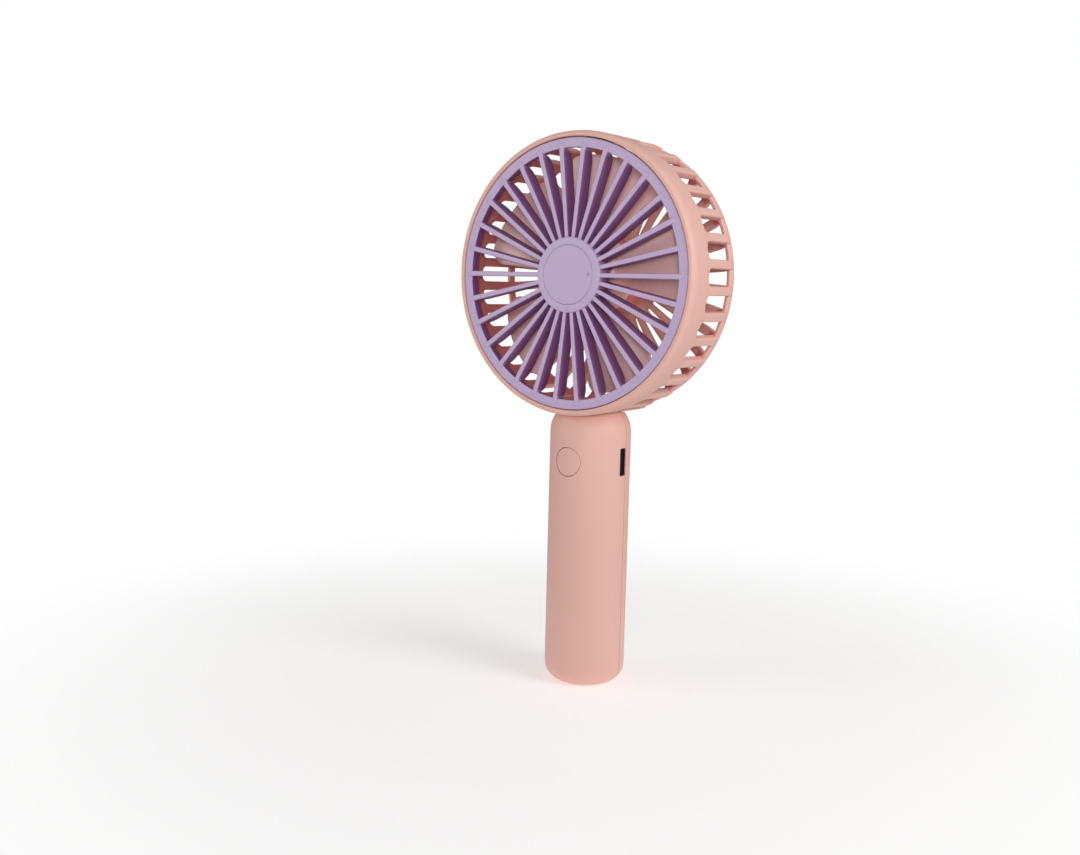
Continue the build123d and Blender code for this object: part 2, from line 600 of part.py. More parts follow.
def motor_end_cap():
    """Plastic end cap that plugs the can, with holes for the rear bushing and the two screws."""
    cap = rod(MAGNET_OUTER, MOTOR_BACK - END_CAP_PLUG, MOTOR_BACK)
    cap += rod(MOTOR_RADIUS, MOTOR_BACK, END_CAP_BACK)
    holes = [rod(BUSHING_RADIUS, MOTOR_BACK - END_CAP_PLUG - OVERCUT, END_CAP_BACK + OVERCUT)]
    tip = MOTOR_SCREW_SEAT - MOTOR_SCREW["length"] - SCREW_TIP_SPACE
    hole = rod(MOTOR_SCREW["shank"], tip, END_CAP_BACK + OVERCUT)
    holes += [place * hole for place in motor_screw_places()]
    return on_head(cap - holes)


def motor_bushings():
    """Sintered bushings at both ends of the motor."""
    nose = MOTOR_FRONT - MOTOR_NOSE_LENGTH
    bore = SHAFT_RADIUS + SHAFT_CLEARANCE
    front = ring(bore, BUSHING_RADIUS, nose, nose + BUSHING_LENGTH)
    back = ring(bore, BUSHING_RADIUS, END_CAP_BACK - BUSHING_LENGTH, END_CAP_BACK)
    return on_head(Compound(children=[front, back]))


def motor_magnets():
    """Two magnet segments against the can's wall."""
    low, high = MOTOR_FRONT + MOTOR_WALL + MAGNET_GAP, MOTOR_BACK - END_CAP_PLUG - MAGNET_GAP
    pair = [sector(MAGNET_INNER, MAGNET_OUTER, low, high, a, MAGNET_SPAN) for a in (0, 180)]
    return on_head(Compound(children=pair))


def motor_rotor_core():
    """Laminated core: a hub, three arms and three curved pole shoes, pressed on the shaft."""
    core = rod(CORE_RADIUS, ROTOR_FRONT, ROTOR_BACK)
    half = ARM_WIDTH / 2
    arm = block(0, ROTOR_RADIUS - POLE_SHOE / 2, -half, half, ROTOR_FRONT, ROTOR_BACK)
    shoe = sector(ROTOR_RADIUS - POLE_SHOE, ROTOR_RADIUS, ROTOR_FRONT, ROTOR_BACK, 0, POLE_SPAN)
    core += around(arm, POLE_COUNT) + around(shoe, POLE_COUNT)
    return on_head(core - rod(SHAFT_RADIUS, ROTOR_FRONT - OVERCUT, ROTOR_BACK + OVERCUT))


def motor_windings():
    """Copper coil round each arm of the core."""
    half = ARM_WIDTH / 2
    wide = half + COIL_THICKNESS
    low, high = CORE_RADIUS + COIL_START, math.sqrt((ROTOR_RADIUS - POLE_SHOE) ** 2 - wide**2) - COIL_GAP
    coil = block(low, high, -wide, wide, ROTOR_FRONT - COIL_THICKNESS, ROTOR_BACK + COIL_THICKNESS)
    coil = fillet(coil.edges().filter_by(Axis.X), COIL_THICKNESS * 0.8)
    coil -= block(low - OVERCUT, high + OVERCUT, -half, half, ROTOR_FRONT, ROTOR_BACK)
    return on_head(Compound(children=around(coil, POLE_COUNT)))


def motor_commutator():
    """Commutator behind the core."""
    return on_head(ring(SHAFT_RADIUS, COMMUTATOR_RADIUS, ROTOR_BACK, COMMUTATOR_BACK))


def motor_brushes():
    """Two brush blocks that stand on the end cap, either side of the commutator."""
    near = COMMUTATOR_RADIUS + BRUSH_GAP
    low = ROTOR_BACK + COIL_THICKNESS + BRUSH_SET_BACK
    half = BRUSH_WIDTH / 2
    brush = block(near, near + BRUSH_LENGTH, -half, half, low, MOTOR_BACK - END_CAP_PLUG)
    return on_head(Compound(children=around(brush, 2)))


def motor_shaft():
    """Steel shaft, from inside the impeller's boss to the rear bushing."""
    return on_head(rod(SHAFT_RADIUS, SHAFT_FRONT, END_CAP_BACK - SHAFT_SET_BACK))


def motor_terminals():
    """Two flat tabs on the end cap that the leads are soldered to."""
    low = END_CAP_BACK
    half = LEAD_RADIUS
    tab = block(-half, half, TERMINAL_END - TERMINAL_LENGTH, TERMINAL_END, low, low + TERMINAL_THICKNESS)
    return on_head(Compound(children=[Pos(x, 0, 0) * tab for x in LEAD_XS]))


def motor_screws():
    """Two screws through the cage's back plate into the motor's end cap."""
    one = Pos(0, 0, MOTOR_SCREW_SEAT) * Rot(180, 0, 0) * screw(MOTOR_SCREW)
    return on_head(Compound(children=[place * one for place in motor_screw_places()]))


def motor_leads():
    """Two leads: down behind the blades, forward inside the drum, and down the neck to the board."""
    depth = END_CAP_BACK + TERMINAL_THICKNESS + LEAD_RADIUS
    back_y = depth - FRONT_TO_AXIS
    low = HEAD_Z - (HEAD_RADIUS - RIB_DEPTH - LEAD_RADIUS - LEAD_CLEARANCE)
    start = HEAD_Z - MOTOR_RADIUS + LEAD_START
    wires = []
    for x in LEAD_XS:
        points = [(x, back_y, start), (x, back_y, low), (x, LEAD_Y, low)]
        points.append((x, LEAD_Y, BOARD_TOP - LEAD_SOLDER))
        corner = CORNER_RADIUS - RIB_DEPTH - LEAD_RADIUS
        wires.append(lead(points, [corner, LEAD_BEND]))
    return Compound(children=wires)


# ---- Handle ----
def handle_outline(inset, low, high):
    """Turned body of the handle, inset evenly from its outside, cut flat at two heights."""
    radius = HANDLE_RADIUS - inset
    foot, dome = FOOT_FILLET - inset, DOME_FILLET - inset
    dome_z = NECK_Z - DOME_RISE
    outline = make_face(
        [
            Polyline((0, dome_z + dome), (0, inset), (radius - foot, inset)),
            ThreePointArc(
                (radius - foot, inset),
                (radius - foot + foot * ARC_MIDDLE, inset + foot * (1 - ARC_MIDDLE)),
                (radius, inset + foot),
            ),
            Line((radius, inset + foot), (radius, dome_z)),
            ThreePointArc(
                (radius, dome_z),
                (radius - dome + dome * ARC_MIDDLE, dome_z + dome * ARC_MIDDLE),
                (radius - dome, dome_z + dome),
            ),
            Line((radius - dome, dome_z + dome), (0, dome_z + dome)),
        ]
    )
    span = 2 * HANDLE_RADIUS
    return turned(outline) & block(-span, span, -span, span, low, high)


def cradle_ribs():
    """Ribs inside the handle that hold the cell, notched for its lead."""
    ribs = []
    for share in CRADLE_PLACES:
        z = CELL_BOTTOM + share * CELL_LENGTH
        ribs.append(ring(CELL_RADIUS + CELL_CLEARANCE, INNER_RADIUS + MERGE, z, z + CRADLE_THICKNESS))
    half = LEAD_RADIUS + LEAD_CLEARANCE
    x = -CELL_LEAD_X
    notch = block(x - half, x + half, CELL_RADIUS - OVERCUT, CELL_LEAD_Y + half, 0, CELL_TOP)
    return [r - notch for r in ribs]


def handle_body():
    """Hollow handle before it is split: the shell, its saddle for the head and the cell's cradle."""
    outside = handle_outline(0, 0, NECK_Z + DOME_FILLET)
    cavity = handle_outline(HANDLE_WALL, HANDLE_WALL, NECK_Z + DOME_FILLET)
    reach = 2 * HANDLE_RADIUS
    roof = y_rod(HEAD_RADIUS + PLUG_CLEARANCE + HANDLE_WALL, 0, HEAD_Z, -reach, reach)
    saddle = y_rod(HEAD_RADIUS + PLUG_CLEARANCE, 0, HEAD_Z, -reach, reach)
    wide, deep = PLUG_WIDTH / 2 + PLUG_CLEARANCE, PLUG_THICKNESS / 2 + PLUG_CLEARANCE
    mouth = block(-wide, wide, -deep, deep, NECK_Z - DOME_RISE, NECK_Z + DOME_FILLET)
    half = GROOVE_WIDTH / 2
    groove = block(-reach, reach, PARTING_Y - half, PARTING_Y + half, -OVERCUT, HEAD_Z)
    groove -= handle_outline(GROOVE_DEPTH, 0, NECK_Z + DOME_FILLET)
    shell = outside - (cavity - roof) + cradle_ribs()
    return shell - [saddle, mouth, groove]


def snap_places():
    """Height and side of each snap that holds the shells together."""
    return [(CELL_BOTTOM + share * CELL_LENGTH, side) for share in SNAP_PLACES for side in (-1, 1)]


def snap(z, side, margin):
    """Tongue on the front shell with a hook that clicks into the rear shell."""
    edge = math.sqrt(INNER_RADIUS**2 - (abs(PARTING_Y) + SNAP_REACH) ** 2) - SNAP_CLEARANCE
    half = SNAP_HEIGHT / 2 + margin
    back = PARTING_Y + SNAP_REACH
    inner = edge - SNAP_THICKNESS
    foot = PARTING_Y - 2 * MERGE
    hook_front = back - SNAP_HOOK_THICKNESS - margin
    hook = block(edge - MERGE / 2, edge + SNAP_HOOK + margin, hook_front, back + margin, z - half, z + half)
    tongue = block(inner, edge, foot, back, z - half, z + half)
    root = block(inner, INNER_RADIUS + MERGE / 2, foot - MERGE, foot + MERGE, z - half, z + half)
    piece = tongue + hook + root if margin == 0 else hook
    return piece if side > 0 else mirror(piece, Plane.YZ)


def handle_front_shell():
    """Front shell, with the button's hole, the charging port and the snap tongues."""
    reach = 2 * HANDLE_RADIUS
    shell = handle_body() & block(-reach, reach, -reach, PARTING_Y, -OVERCUT, HEAD_Z)
    shell += [snap(z, side, 0) for z, side in snap_places()]
    hole = y_rod(BUTTON_RADIUS + BUTTON_GAP, 0, BUTTON_Z, -reach, 0)
    half = PORT_HEIGHT / 2
    low = SOCKET_MOUTH - PORT_SINK
    port = block(low, reach, PORT_FRONT_Y, PARTING_Y + OVERCUT, BUTTON_Z - half, BUTTON_Z + half)
    port = fillet(port.edges().filter_by(Axis.X).sort_by(Axis.Y)[:2], PORT_CORNER)
    return shell - [hole, port]


def boss(sizes, x, z, face, reach):
    """Screw boss from the rear shell's wall forward to a face, and its hole."""
    post = y_rod(sizes["shank"] + BOSS_WALL, x, z, face, reach)
    return post, y_rod(sizes["shank"], x, z, face - OVERCUT, sizes["tip"] + SCREW_TIP_SPACE)


def handle_rear_shell():
    """Rear shell, with the bosses for the neck and board screws and the pockets for the snaps."""
    reach = 2 * HANDLE_RADIUS
    shell = handle_body() & block(-reach, reach, PARTING_Y, reach, -OVERCUT, HEAD_Z)
    posts, holes = [], []
    neck_face = PLUG_THICKNESS / 2
    neck = dict(NECK_SCREW, tip=-PLUG_THICKNESS / 2 + NECK_SCREW["length"])
    board = dict(BOARD_SCREW, tip=BOARD_FRONT_Y + BOARD_SCREW["length"])
    screws = [(neck, x, NECK_SCREW_Z, neck_face) for x in NECK_SCREW_XS]
    screws += [(board, x, z, BOARD_BACK_Y) for x, z in BOARD_SCREW_PLACES]
    for sizes, x, z, face in screws:
        wall = math.sqrt(INNER_RADIUS**2 - (abs(x) + sizes["shank"] + BOSS_WALL) ** 2)
        post, hole = boss(sizes, x, z, face, wall + BOSS_SINK)
        posts.append(post)
        holes.append(hole)
    pockets = [snap(z, side, SNAP_CLEARANCE) for z, side in snap_places()]
    return shell + posts - holes - pockets


def neck_screws():
    """Two screws through the cage's plug into the rear shell."""
    one = Rot(-90, 0, 0) * screw(NECK_SCREW)
    return Compound(children=[Pos(x, -PLUG_THICKNESS / 2, NECK_SCREW_Z) * one for x in NECK_SCREW_XS])


# ---- Button, board and socket ----
def button_cap():
    """Round button flush with the handle, with a hidden flange and a stem that meets the plunger."""
    flange_radius = BUTTON_RADIUS + BUTTON_GAP + BUTTON_FLANGE
    wall = math.sqrt(INNER_RADIUS**2 - flange_radius**2)
    flange_front = -wall + BUTTON_GAP
    cap = y_rod(BUTTON_RADIUS, 0, BUTTON_Z, -2 * HANDLE_RADIUS, flange_front)
    cap = cap & handle_outline(0, 0, NECK_Z)
    cap += y_rod(flange_radius, 0, BUTTON_Z, flange_front, flange_front + BUTTON_FLANGE_THICKNESS)
    return cap + y_rod(BUTTON_STEM_RADIUS, 0, BUTTON_Z, flange_front, PLUNGER_FRONT)


def switch_body():
    """Square push switch on the board, hollow for its plunger."""
    half = SWITCH_SIDE / 2
    body = block(-half, half, SWITCH_FRONT, BOARD_FRONT_Y, BUTTON_Z - half, BUTTON_Z + half)
    bottom = SWITCH_FRONT + PLUNGER_SEAT + BUTTON_TRAVEL + PLUNGER_BOTTOM_GAP
    return body - y_rod(PLUNGER_RADIUS + PLUNGER_CLEARANCE, 0, BUTTON_Z, SWITCH_FRONT - OVERCUT, bottom)


def switch_plunger():
    """Round plunger of the push switch."""
    return y_rod(PLUNGER_RADIUS, 0, BUTTON_Z, PLUNGER_FRONT, SWITCH_FRONT + PLUNGER_SEAT)


def control_board():
    """Circuit board behind the button, with its screw holes."""
    half = BOARD_WIDTH / 2
    board = block(-half, half, BOARD_FRONT_Y, BOARD_BACK_Y, BOARD_BOTTOM, BOARD_TOP)
    board = fillet(board.edges().filter_by(Axis.Y), BOARD_CORNER)
    radius = BOARD_SCREW["shank"] + SCREW_CLEARANCE
    low, high = BOARD_FRONT_Y - OVERCUT, BOARD_BACK_Y + OVERCUT
    return board - [y_rod(radius, x, z, low, high) for x, z in BOARD_SCREW_PLACES]


def board_chips():
    """Charge controller, motor driver, inductor and small parts on the back of the board."""
    face = BOARD_BACK_Y
    foot = BOARD_BOTTOM
    chips = [block(x0, x1, face, face + deep, foot + z0, foot + z1) for x0, x1, z0, z1, deep in CHIPS]
    coil_z, back = foot + INDUCTOR["rise"], face + INDUCTOR["height"]
    chips.append(y_rod(INDUCTOR["radius"], INDUCTOR["x"], coil_z, face, back))
    return Compound(children=chips)


def board_screws():
    """Three screws that hold the board to the rear shell."""
    one = Rot(-90, 0, 0) * screw(BOARD_SCREW)
    return Compound(children=[Pos(x, BOARD_FRONT_Y, z) * one for x, z in BOARD_SCREW_PLACES])


def socket_box(inset, low, high):
    """Rounded bar along X in the section of the charging socket."""
    width, height = SOCKET_THICKNESS - 2 * inset, SOCKET_WIDTH - 2 * inset
    section = RectangleRounded(width, height, SOCKET_CORNER - inset)
    place = Plane(origin=(low, SOCKET_Y, BUTTON_Z), x_dir=(0, 1, 0), z_dir=(1, 0, 0))
    return extrude(place * section, high - low)


def usb_socket():
    """Drawn metal shell of the charging socket, open towards the port."""
    back = SOCKET_MOUTH - SOCKET_LENGTH
    hollow = socket_box(SOCKET_WALL, back + SOCKET_WALL, SOCKET_MOUTH + OVERCUT)
    return socket_box(0, back, SOCKET_MOUTH) - hollow


def usb_tongue():
    """Contact tongue and its base inside the socket."""
    back = SOCKET_MOUTH - SOCKET_LENGTH + SOCKET_WALL
    base = socket_box(SOCKET_WALL, back, back + TONGUE_BASE)
    half = TONGUE_THICKNESS / 2
    tip = SOCKET_MOUTH - TONGUE_SET_BACK
    low, high = BUTTON_Z - TONGUE_WIDTH / 2, BUTTON_Z + TONGUE_WIDTH / 2
    return base + block(back + TONGUE_BASE / 2, tip, SOCKET_Y - half, SOCKET_Y + half, low, high)


# ---- Battery ----
def battery_cell():
    """Cylindrical cell with its raised positive end."""
    body = rod(CELL_RADIUS, CELL_BOTTOM, CELL_TOP - INSULATOR_RISE)
    pole = rod(CELL_POLE_RADIUS, CELL_TOP - INSULATOR_RISE - MERGE, CELL_TOP)
    return fillet(body.edges(), CELL_EDGE) + pole


def battery_insulator():
    """Paper washer round the positive end."""
    low = CELL_TOP - INSULATOR_RISE
    inner, outer = CELL_POLE_RADIUS + INSULATOR_GAP, CELL_RADIUS - INSULATOR_INSET
    return ring(inner, outer, low, low + INSULATOR_RISE / 2)


def battery_tabs():
    """Nickel strips welded to the cell's two ends."""
    half = LEAD_RADIUS + TAB_MARGIN
    x = CELL_LEAD_X
    top = block(-CELL_POLE_RADIUS, x + half, -half, LEAD_Y + half, CELL_TOP, CELL_TOP + TAB_THICKNESS)
    low = CELL_BOTTOM - TAB_THICKNESS
    bottom = block(-x - half, -x + half, -TAB_FOOT, CELL_LEAD_Y + LEAD_RADIUS, low, CELL_BOTTOM)
    return Compound(children=[top, bottom])


def battery_leads():
    """The positive lead up to the board's front, and the negative one up beside the cell to its back."""
    x = CELL_LEAD_X
    plus = Pos(x, LEAD_Y, 0) * rod(LEAD_RADIUS, CELL_TOP + TAB_THICKNESS, BOARD_BOTTOM + LEAD_SOLDER)
    back = BOARD_BACK_Y + LEAD_RADIUS
    turn = CELL_TOP + LEAD_RADIUS + LEAD_CLEARANCE
    points = [
        (-x, CELL_LEAD_Y, CELL_BOTTOM),
        (-x, CELL_LEAD_Y, turn),
        (-x, back, turn),
        (-x, back, BOARD_BOTTOM + LEAD_SOLDER),
    ]
    return Compound(children=[plus, lead(points, [LEAD_BEND, LEAD_BEND])])


def battery_cushion():
    """Foam disc between the cell and the foot."""
    return rod(CELL_RADIUS - CUSHION_INSET, HANDLE_WALL, HANDLE_WALL + CUSHION_THICKNESS)


NODES = {
    "front_grille": front_grille,
    "grille_hub_cap": grille_hub_cap,
    "rear_cage": rear_cage,
    "rear_hub_cap": rear_hub_cap,
    "impeller": impeller,
    "motor_can": motor_can,
    "motor_end_cap": motor_end_cap,
    "motor_bushings": motor_bushings,
    "motor_magnets": motor_magnets,
    "motor_rotor_core": motor_rotor_core,
    "motor_windings": motor_windings,
    "motor_commutator": motor_commutator,
    "motor_brushes": motor_brushes,
    "motor_shaft": motor_shaft,
    "motor_terminals": motor_terminals,
    "motor_screws": motor_screws,
    "motor_leads": motor_leads,
    "handle_front_shell": handle_front_shell,
    "handle_rear_shell": handle_rear_shell,
    "neck_screws": neck_screws,
    "button_cap": button_cap,
    "switch_body": switch_body,
    "switch_plunger": switch_plunger,
    "control_board": control_board,
    "board_chips": board_chips,
    "board_screws": board_screws,
    "usb_socket": usb_socket,
    "usb_tongue": usb_tongue,
    "battery_cell": battery_cell,
    "battery_insulator": battery_insulator,
    "battery_tabs": battery_tabs,
    "battery_leads": battery_leads,
    "battery_cushion": battery_cushion,
}

os.makedirs("parts", exist_ok=True)
for node, make in NODES.items():
    export_step(make(), os.path.join("parts", node + ".step"))
print(f"head centre {HEAD_Z:.2f}, radius {HEAD_RADIUS:.2f}, depth {HEAD_DEPTH:.2f}, neck {NECK_Z:.2f}")
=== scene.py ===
"""Handheld electric fan: the visible skins, finishes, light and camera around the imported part."""

import json
import logging
import math
from dataclasses import dataclass, field
from enum import Enum

import bpy
import numpy as np
from mathutils import Matrix, Vector


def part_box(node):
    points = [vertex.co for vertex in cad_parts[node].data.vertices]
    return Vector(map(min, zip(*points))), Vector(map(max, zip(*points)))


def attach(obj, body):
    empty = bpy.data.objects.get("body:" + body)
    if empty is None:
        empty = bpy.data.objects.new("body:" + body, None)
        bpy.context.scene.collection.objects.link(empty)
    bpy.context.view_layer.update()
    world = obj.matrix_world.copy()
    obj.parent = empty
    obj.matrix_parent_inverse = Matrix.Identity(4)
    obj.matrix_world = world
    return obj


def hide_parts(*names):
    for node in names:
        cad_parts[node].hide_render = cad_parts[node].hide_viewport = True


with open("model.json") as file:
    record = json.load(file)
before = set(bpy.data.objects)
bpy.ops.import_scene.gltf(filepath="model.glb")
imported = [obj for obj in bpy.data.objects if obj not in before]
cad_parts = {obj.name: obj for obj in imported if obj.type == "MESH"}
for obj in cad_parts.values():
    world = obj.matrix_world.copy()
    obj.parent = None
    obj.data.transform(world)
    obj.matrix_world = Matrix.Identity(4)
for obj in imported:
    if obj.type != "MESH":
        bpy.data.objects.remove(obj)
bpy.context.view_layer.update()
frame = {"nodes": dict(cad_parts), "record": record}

MM = 0.001
DOWN = 90.0  # direction of the handle, in the head's own turn about its axis
LUG_TURNS = (30.0, 150.0, 270.0)  # directions of the lugs that lock the grille
GRAIN_HEIGHT = 0.0002  # metres that a full step of moulded grain stands for
LINE_HEIGHT = 0.0001  # the same for the lines of a metal
LINE_SHADE = 0.8  # darkest tone between a metal's lines
LOG = logging.getLogger("fan")
Array = np.ndarray


# ---------------------------------------------------------------- surfaces


def unit(vectors: Array) -> Array:
    """Vectors scaled to length one along their last axis."""
    return vectors / np.linalg.norm(vectors, axis=-1, keepdims=True)


def rounded_loop(corners: Array, radii: Array, steps: int = 5) -> Array:
    """Closed outline with every corner turned into a tangent arc.

    At a corner whose two sides open by the angle 2h, the arc of radius r starts r / tan(h) along each
    side, and its centre lies r / sin(h) along the line that halves the angle.

    Args:
        corners: The outline's corners in order, one row of two numbers each.
        radii: One arc radius for each corner.
        steps: Parts that each arc is divided into.

    Returns:
        The points of the outline, steps + 1 for each corner.
    """
    points = np.asarray(corners, float)
    radii = np.asarray(radii, float)[:, None]
    back = unit(np.roll(points, 1, 0) - points)
    ahead = unit(np.roll(points, -1, 0) - points)
    half = np.arccos(np.clip((back * ahead).sum(1, keepdims=True), -1, 1)) / 2
    centre = points + unit(back + ahead) * radii / np.sin(half)
    start = points + back * radii / np.tan(half) - centre
    turn = np.sign(np.cross(-back, ahead))[:, None] * (math.pi - 2 * half)
    angle = turn * np.linspace(0, 1, steps + 1)[None, :]
    cos, sin = np.cos(angle)[..., None], np.sin(angle)[..., None]
    across = np.stack([-start[:, 1], start[:, 0]], 1)
    arcs = centre[:, None] + start[:, None] * cos + across[:, None] * sin
    return arcs.reshape(-1, 2)


def rounded_section(half_x: Array, half_y: Array, radius: Array, steps: int = 4) -> Array:
    """Rounded rectangles, one for each station.

    A point at the angle a is the corner's centre, (half - radius) times the signs of cos a and sin a,
    plus radius times (cos a, sin a); each quarter of the turn belongs to one corner.

    Args:
        half_x: Half the width at each station.
        half_y: Half the height at each station.
        radius: Corner radius at each station.
        steps: Parts that each corner is divided into.

    Returns:
        Array of stations by points by two.
    """
    quarter = np.linspace(0, math.pi / 2, steps + 1)
    angle = (quarter[None, :] + np.arange(4)[:, None] * math.pi / 2).ravel()
    middle = (np.arange(4)[:, None] + 0.5 + 0 * quarter[None, :]).ravel() * math.pi / 2
    half_x, half_y, radius = (np.atleast_1d(v)[:, None] for v in (half_x, half_y, radius))
    x = (half_x - radius) * np.sign(np.cos(middle)) + radius * np.cos(angle)
    y = (half_y - radius) * np.sign(np.sin(middle)) + radius * np.sin(angle)
    return np.stack(np.broadcast_arrays(x, y), -1)


def quarter(
    middle_r: float, middle_d: float, radius: float, start: float, end: float, steps: int = 6
) -> Array:
    """Arc of an outline about its middle, between two angles in degrees, as radius and depth."""
    angle = np.radians(np.linspace(start, end, steps + 1))
    return np.stack([middle_r + radius * np.cos(angle), middle_d + radius * np.sin(angle)], 1)


def ring_loop(inner: float, outer: float, front: float, back: float, radii: list[float]) -> Array:
    """Rounded outline of a flat ring, from its inner front corner by way of the outer two."""
    return rounded_loop([(inner, front), (outer, front), (outer, back), (inner, back)], radii)


@dataclass
class Shell:
    """A closed or open surface held as plain arrays.

    Each point's painted_shade_and_mark is its share of the finish's shaded tone: painted shade in hollows and
    on inner walls, and a darker tone on gate marks.
    """

    points: Array
    quads: Array
    triangles: Array = field(default_factory=lambda: np.zeros((0, 3), int))
    painted_shade_and_mark: Array | float = 0.0

    def volume(self) -> float:
        """Signed volume inside the surface: positive when its faces look outwards."""
        triangles = np.concatenate([self.quads[:, [0, 1, 2]], self.quads[:, [0, 2, 3]], self.triangles])
        a, b, c = (self.points[triangles[:, i]] for i in range(3))
        return float((np.cross(a, b) * c).sum() / 6)

    def outward(self) -> "Shell":
        """The same closed surface with its faces looking outwards."""
        if self.volume() < 0:
            return Shell(self.points, self.quads[:, ::-1], self.triangles[:, ::-1], self.painted_shade_and_mark)
        return self


def grid_shell(grid: Array, wrap: bool = False) -> Shell:
    """Closed surface from a grid of rings: each row of the grid is one ring.

    The rings are joined by quads. Where the rows wrap, the last ring joins the first one; otherwise
    each end is closed by a fan of triangles to the middle of its ring.

    Args:
        grid: Rings by points by three.
        wrap: Whether the last ring meets the first.

    Returns:
        The surface with its faces outwards.
    """
    rings, count = grid.shape[:2]
    index = np.arange(rings * count).reshape(rings, count)
    rows = index if wrap else index[:-1]
    above = np.roll(index, -1, 0)[: len(rows)]
    quads = np.stack([rows, np.roll(rows, -1, 1), np.roll(above, -1, 1), above], -1).reshape(-1, 4)
    points = grid.reshape(-1, 3)
    if wrap:
        return Shell(points, quads).outward()
    middles = np.stack([grid[0].mean(0), grid[-1].mean(0)])
    first, last = len(points), len(points) + 1
    start = np.stack([np.roll(index[0], -1), index[0], np.full(count, first)], 1)
    end = np.stack([index[-1], np.roll(index[-1], -1), np.full(count, last)], 1)
    return Shell(np.concatenate([points, middles]), quads, np.concatenate([start, end])).outward()


def joined(shells: list[Shell]) -> Shell:
    """Several surfaces as one set of arrays."""
    offsets = np.cumsum([0] + [len(s.points) for s in shells[:-1]])
    return Shell(
        np.concatenate([s.points for s in shells]),
        np.concatenate([s.quads + o for s, o in zip(shells, offsets)]),
        np.concatenate([s.triangles + o for s, o in zip(shells, offsets)]),
        np.concatenate([np.broadcast_to(s.painted_shade_and_mark, len(s.points)) for s in shells]),
    )


def lathe(loop: Array, steps: int, start: float = 0.0, span: float = 360.0) -> Shell:
    """Outline turned about the head's axis.

    The point (r, d) of the outline goes to (r cos a, r sin a, d) for the angles a from start over
    span. A full turn wraps round; a part turn is closed at both ends.

    Args:
        loop: Closed outline of radius and depth.
        steps: Parts of the turn.
        start: First angle, in degrees.
        span: Angle turned through, in degrees.

    Returns:
        The closed surface in the head's own frame.
    """
    full = abs(span - 360.0) < 1e-6
    angle = np.radians(start + span * np.arange(steps + (0 if full else 1)) / steps)[:, None]
    r, d = loop[None, :, 0], loop[None, :, 1]
    grid = np.stack([r * np.cos(angle), r * np.sin(angle), d + 0 * angle], -1)
    return grid_shell(grid, wrap=full)


def disc(profile: Array, steps: int) -> Shell:
    """Solid disc turned from an open outline that starts and ends on the axis, with closed poles.

    Args:
        profile: Points of radius and depth off the axis, from the front pole to the back pole.
        steps: Parts of the turn.

    Returns:
        The closed surface in the head's own frame.
    """
    angle = np.linspace(0, 2 * math.pi, steps, endpoint=False)[None, :]
    r, d = profile[:, 0][:, None], profile[:, 1][:, None]
    return grid_shell(np.stack([r * np.cos(angle), r * np.sin(angle), d + 0 * angle], -1))


def turned_copies(shell: Shell, angles: Array) -> Shell:
    """Copies of a surface turned about the head's axis by each of the angles, in degrees."""
    a = np.radians(np.asarray(angles, float))[:, None]
    x, y, d = shell.points.T
    points = np.stack([x * np.cos(a) - y * np.sin(a), x * np.sin(a) + y * np.cos(a), d + 0 * a], -1)
    shift = (np.arange(len(a)) * len(shell.points))[:, None, None]
    quads = (shell.quads[None] + shift).reshape(-1, 4)
    triangles = (shell.triangles[None] + shift).reshape(-1, 3)
    painted_shade_and_mark = np.tile(np.broadcast_to(shell.painted_shade_and_mark, len(shell.points)), len(a))
    return Shell(points.reshape(-1, 3), quads, triangles, painted_shade_and_mark)


def pimple(radius: float, width: float, height: float) -> Shell:
    """Flat ring that stands proud of a front face by a height, as the mark of an ejector pin."""
    edge = height / 2
    return lathe(ring_loop(radius - width, radius, -height, 0.1, [edge, edge, 0.01, 0.01]), 24)


def to_object(shell: Shell, name: str, smooth_angle: float = 40.0) -> bpy.types.Object:
    """Mesh object at the origin from a surface in metres.

    Args:
        shell: The surface, in the part's frame.
        name: Name of the object.
        smooth_angle: Edges that bend by more than this many degrees stay sharp.

    Returns:
        The new object, linked to the scene.
    """
    mesh = bpy.data.meshes.new(name)
    faces = [*map(tuple, shell.quads.tolist()), *map(tuple, shell.triangles.tolist())]
    mesh.from_pydata(shell.points.tolist(), [], faces)
    mesh.polygons.foreach_set("use_smooth", np.ones(len(faces), bool))
    mesh.set_sharp_from_angle(angle=math.radians(smooth_angle))
    # Each point's share of painted shade and of the darker mark tone, read by the finish.
    layer = mesh.attributes.new("painted_shade_and_mark", "FLOAT", "POINT")
    layer.data.foreach_set("value", np.broadcast_to(shell.painted_shade_and_mark, len(shell.points)).astype(np.float32))
    mesh.update()
    made = bpy.data.objects.new(name, mesh)
    bpy.context.scene.collection.objects.link(made)
    return made


# ---------------------------------------------------------------- finishes


class GroupName(Enum):
    """The shared effects, each a shader node group."""

    GRAIN = "moulded_grain"
    PIGMENT = "pigment_drift"
    HANDLING = "handling_marks"
    BRUSHED = "brushed_lines"
    FADE = "distance_fade"


def new_group(
    kind: GroupName, inputs: dict[str, float | tuple], outputs: dict[str, str]
) -> bpy.types.NodeTree:
    """Empty shader group with named sockets.

    Args:
        kind: Which effect the group holds.
        inputs: Socket names and default values: a number, or a colour of four numbers.
        outputs: Socket names and socket types.

    Returns:
        The group's node tree, with its input and output nodes placed.
    """
    tree = bpy.data.node_groups.new(kind.value, "ShaderNodeTree")
    for name, value in inputs.items():
        is_colour = isinstance(value, tuple)
        socket_type = "NodeSocketColor" if is_colour else "NodeSocketFloat"
        socket = tree.interface.new_socket(name=name, in_out="INPUT", socket_type=socket_type)
        socket.default_value = value
    for name, socket_type in outputs.items():
        tree.interface.new_socket(name=name, in_out="OUTPUT", socket_type=socket_type)
    tree.nodes.new("NodeGroupInput").name = "in"
    tree.nodes.new("NodeGroupOutput").name = "out"
    return tree


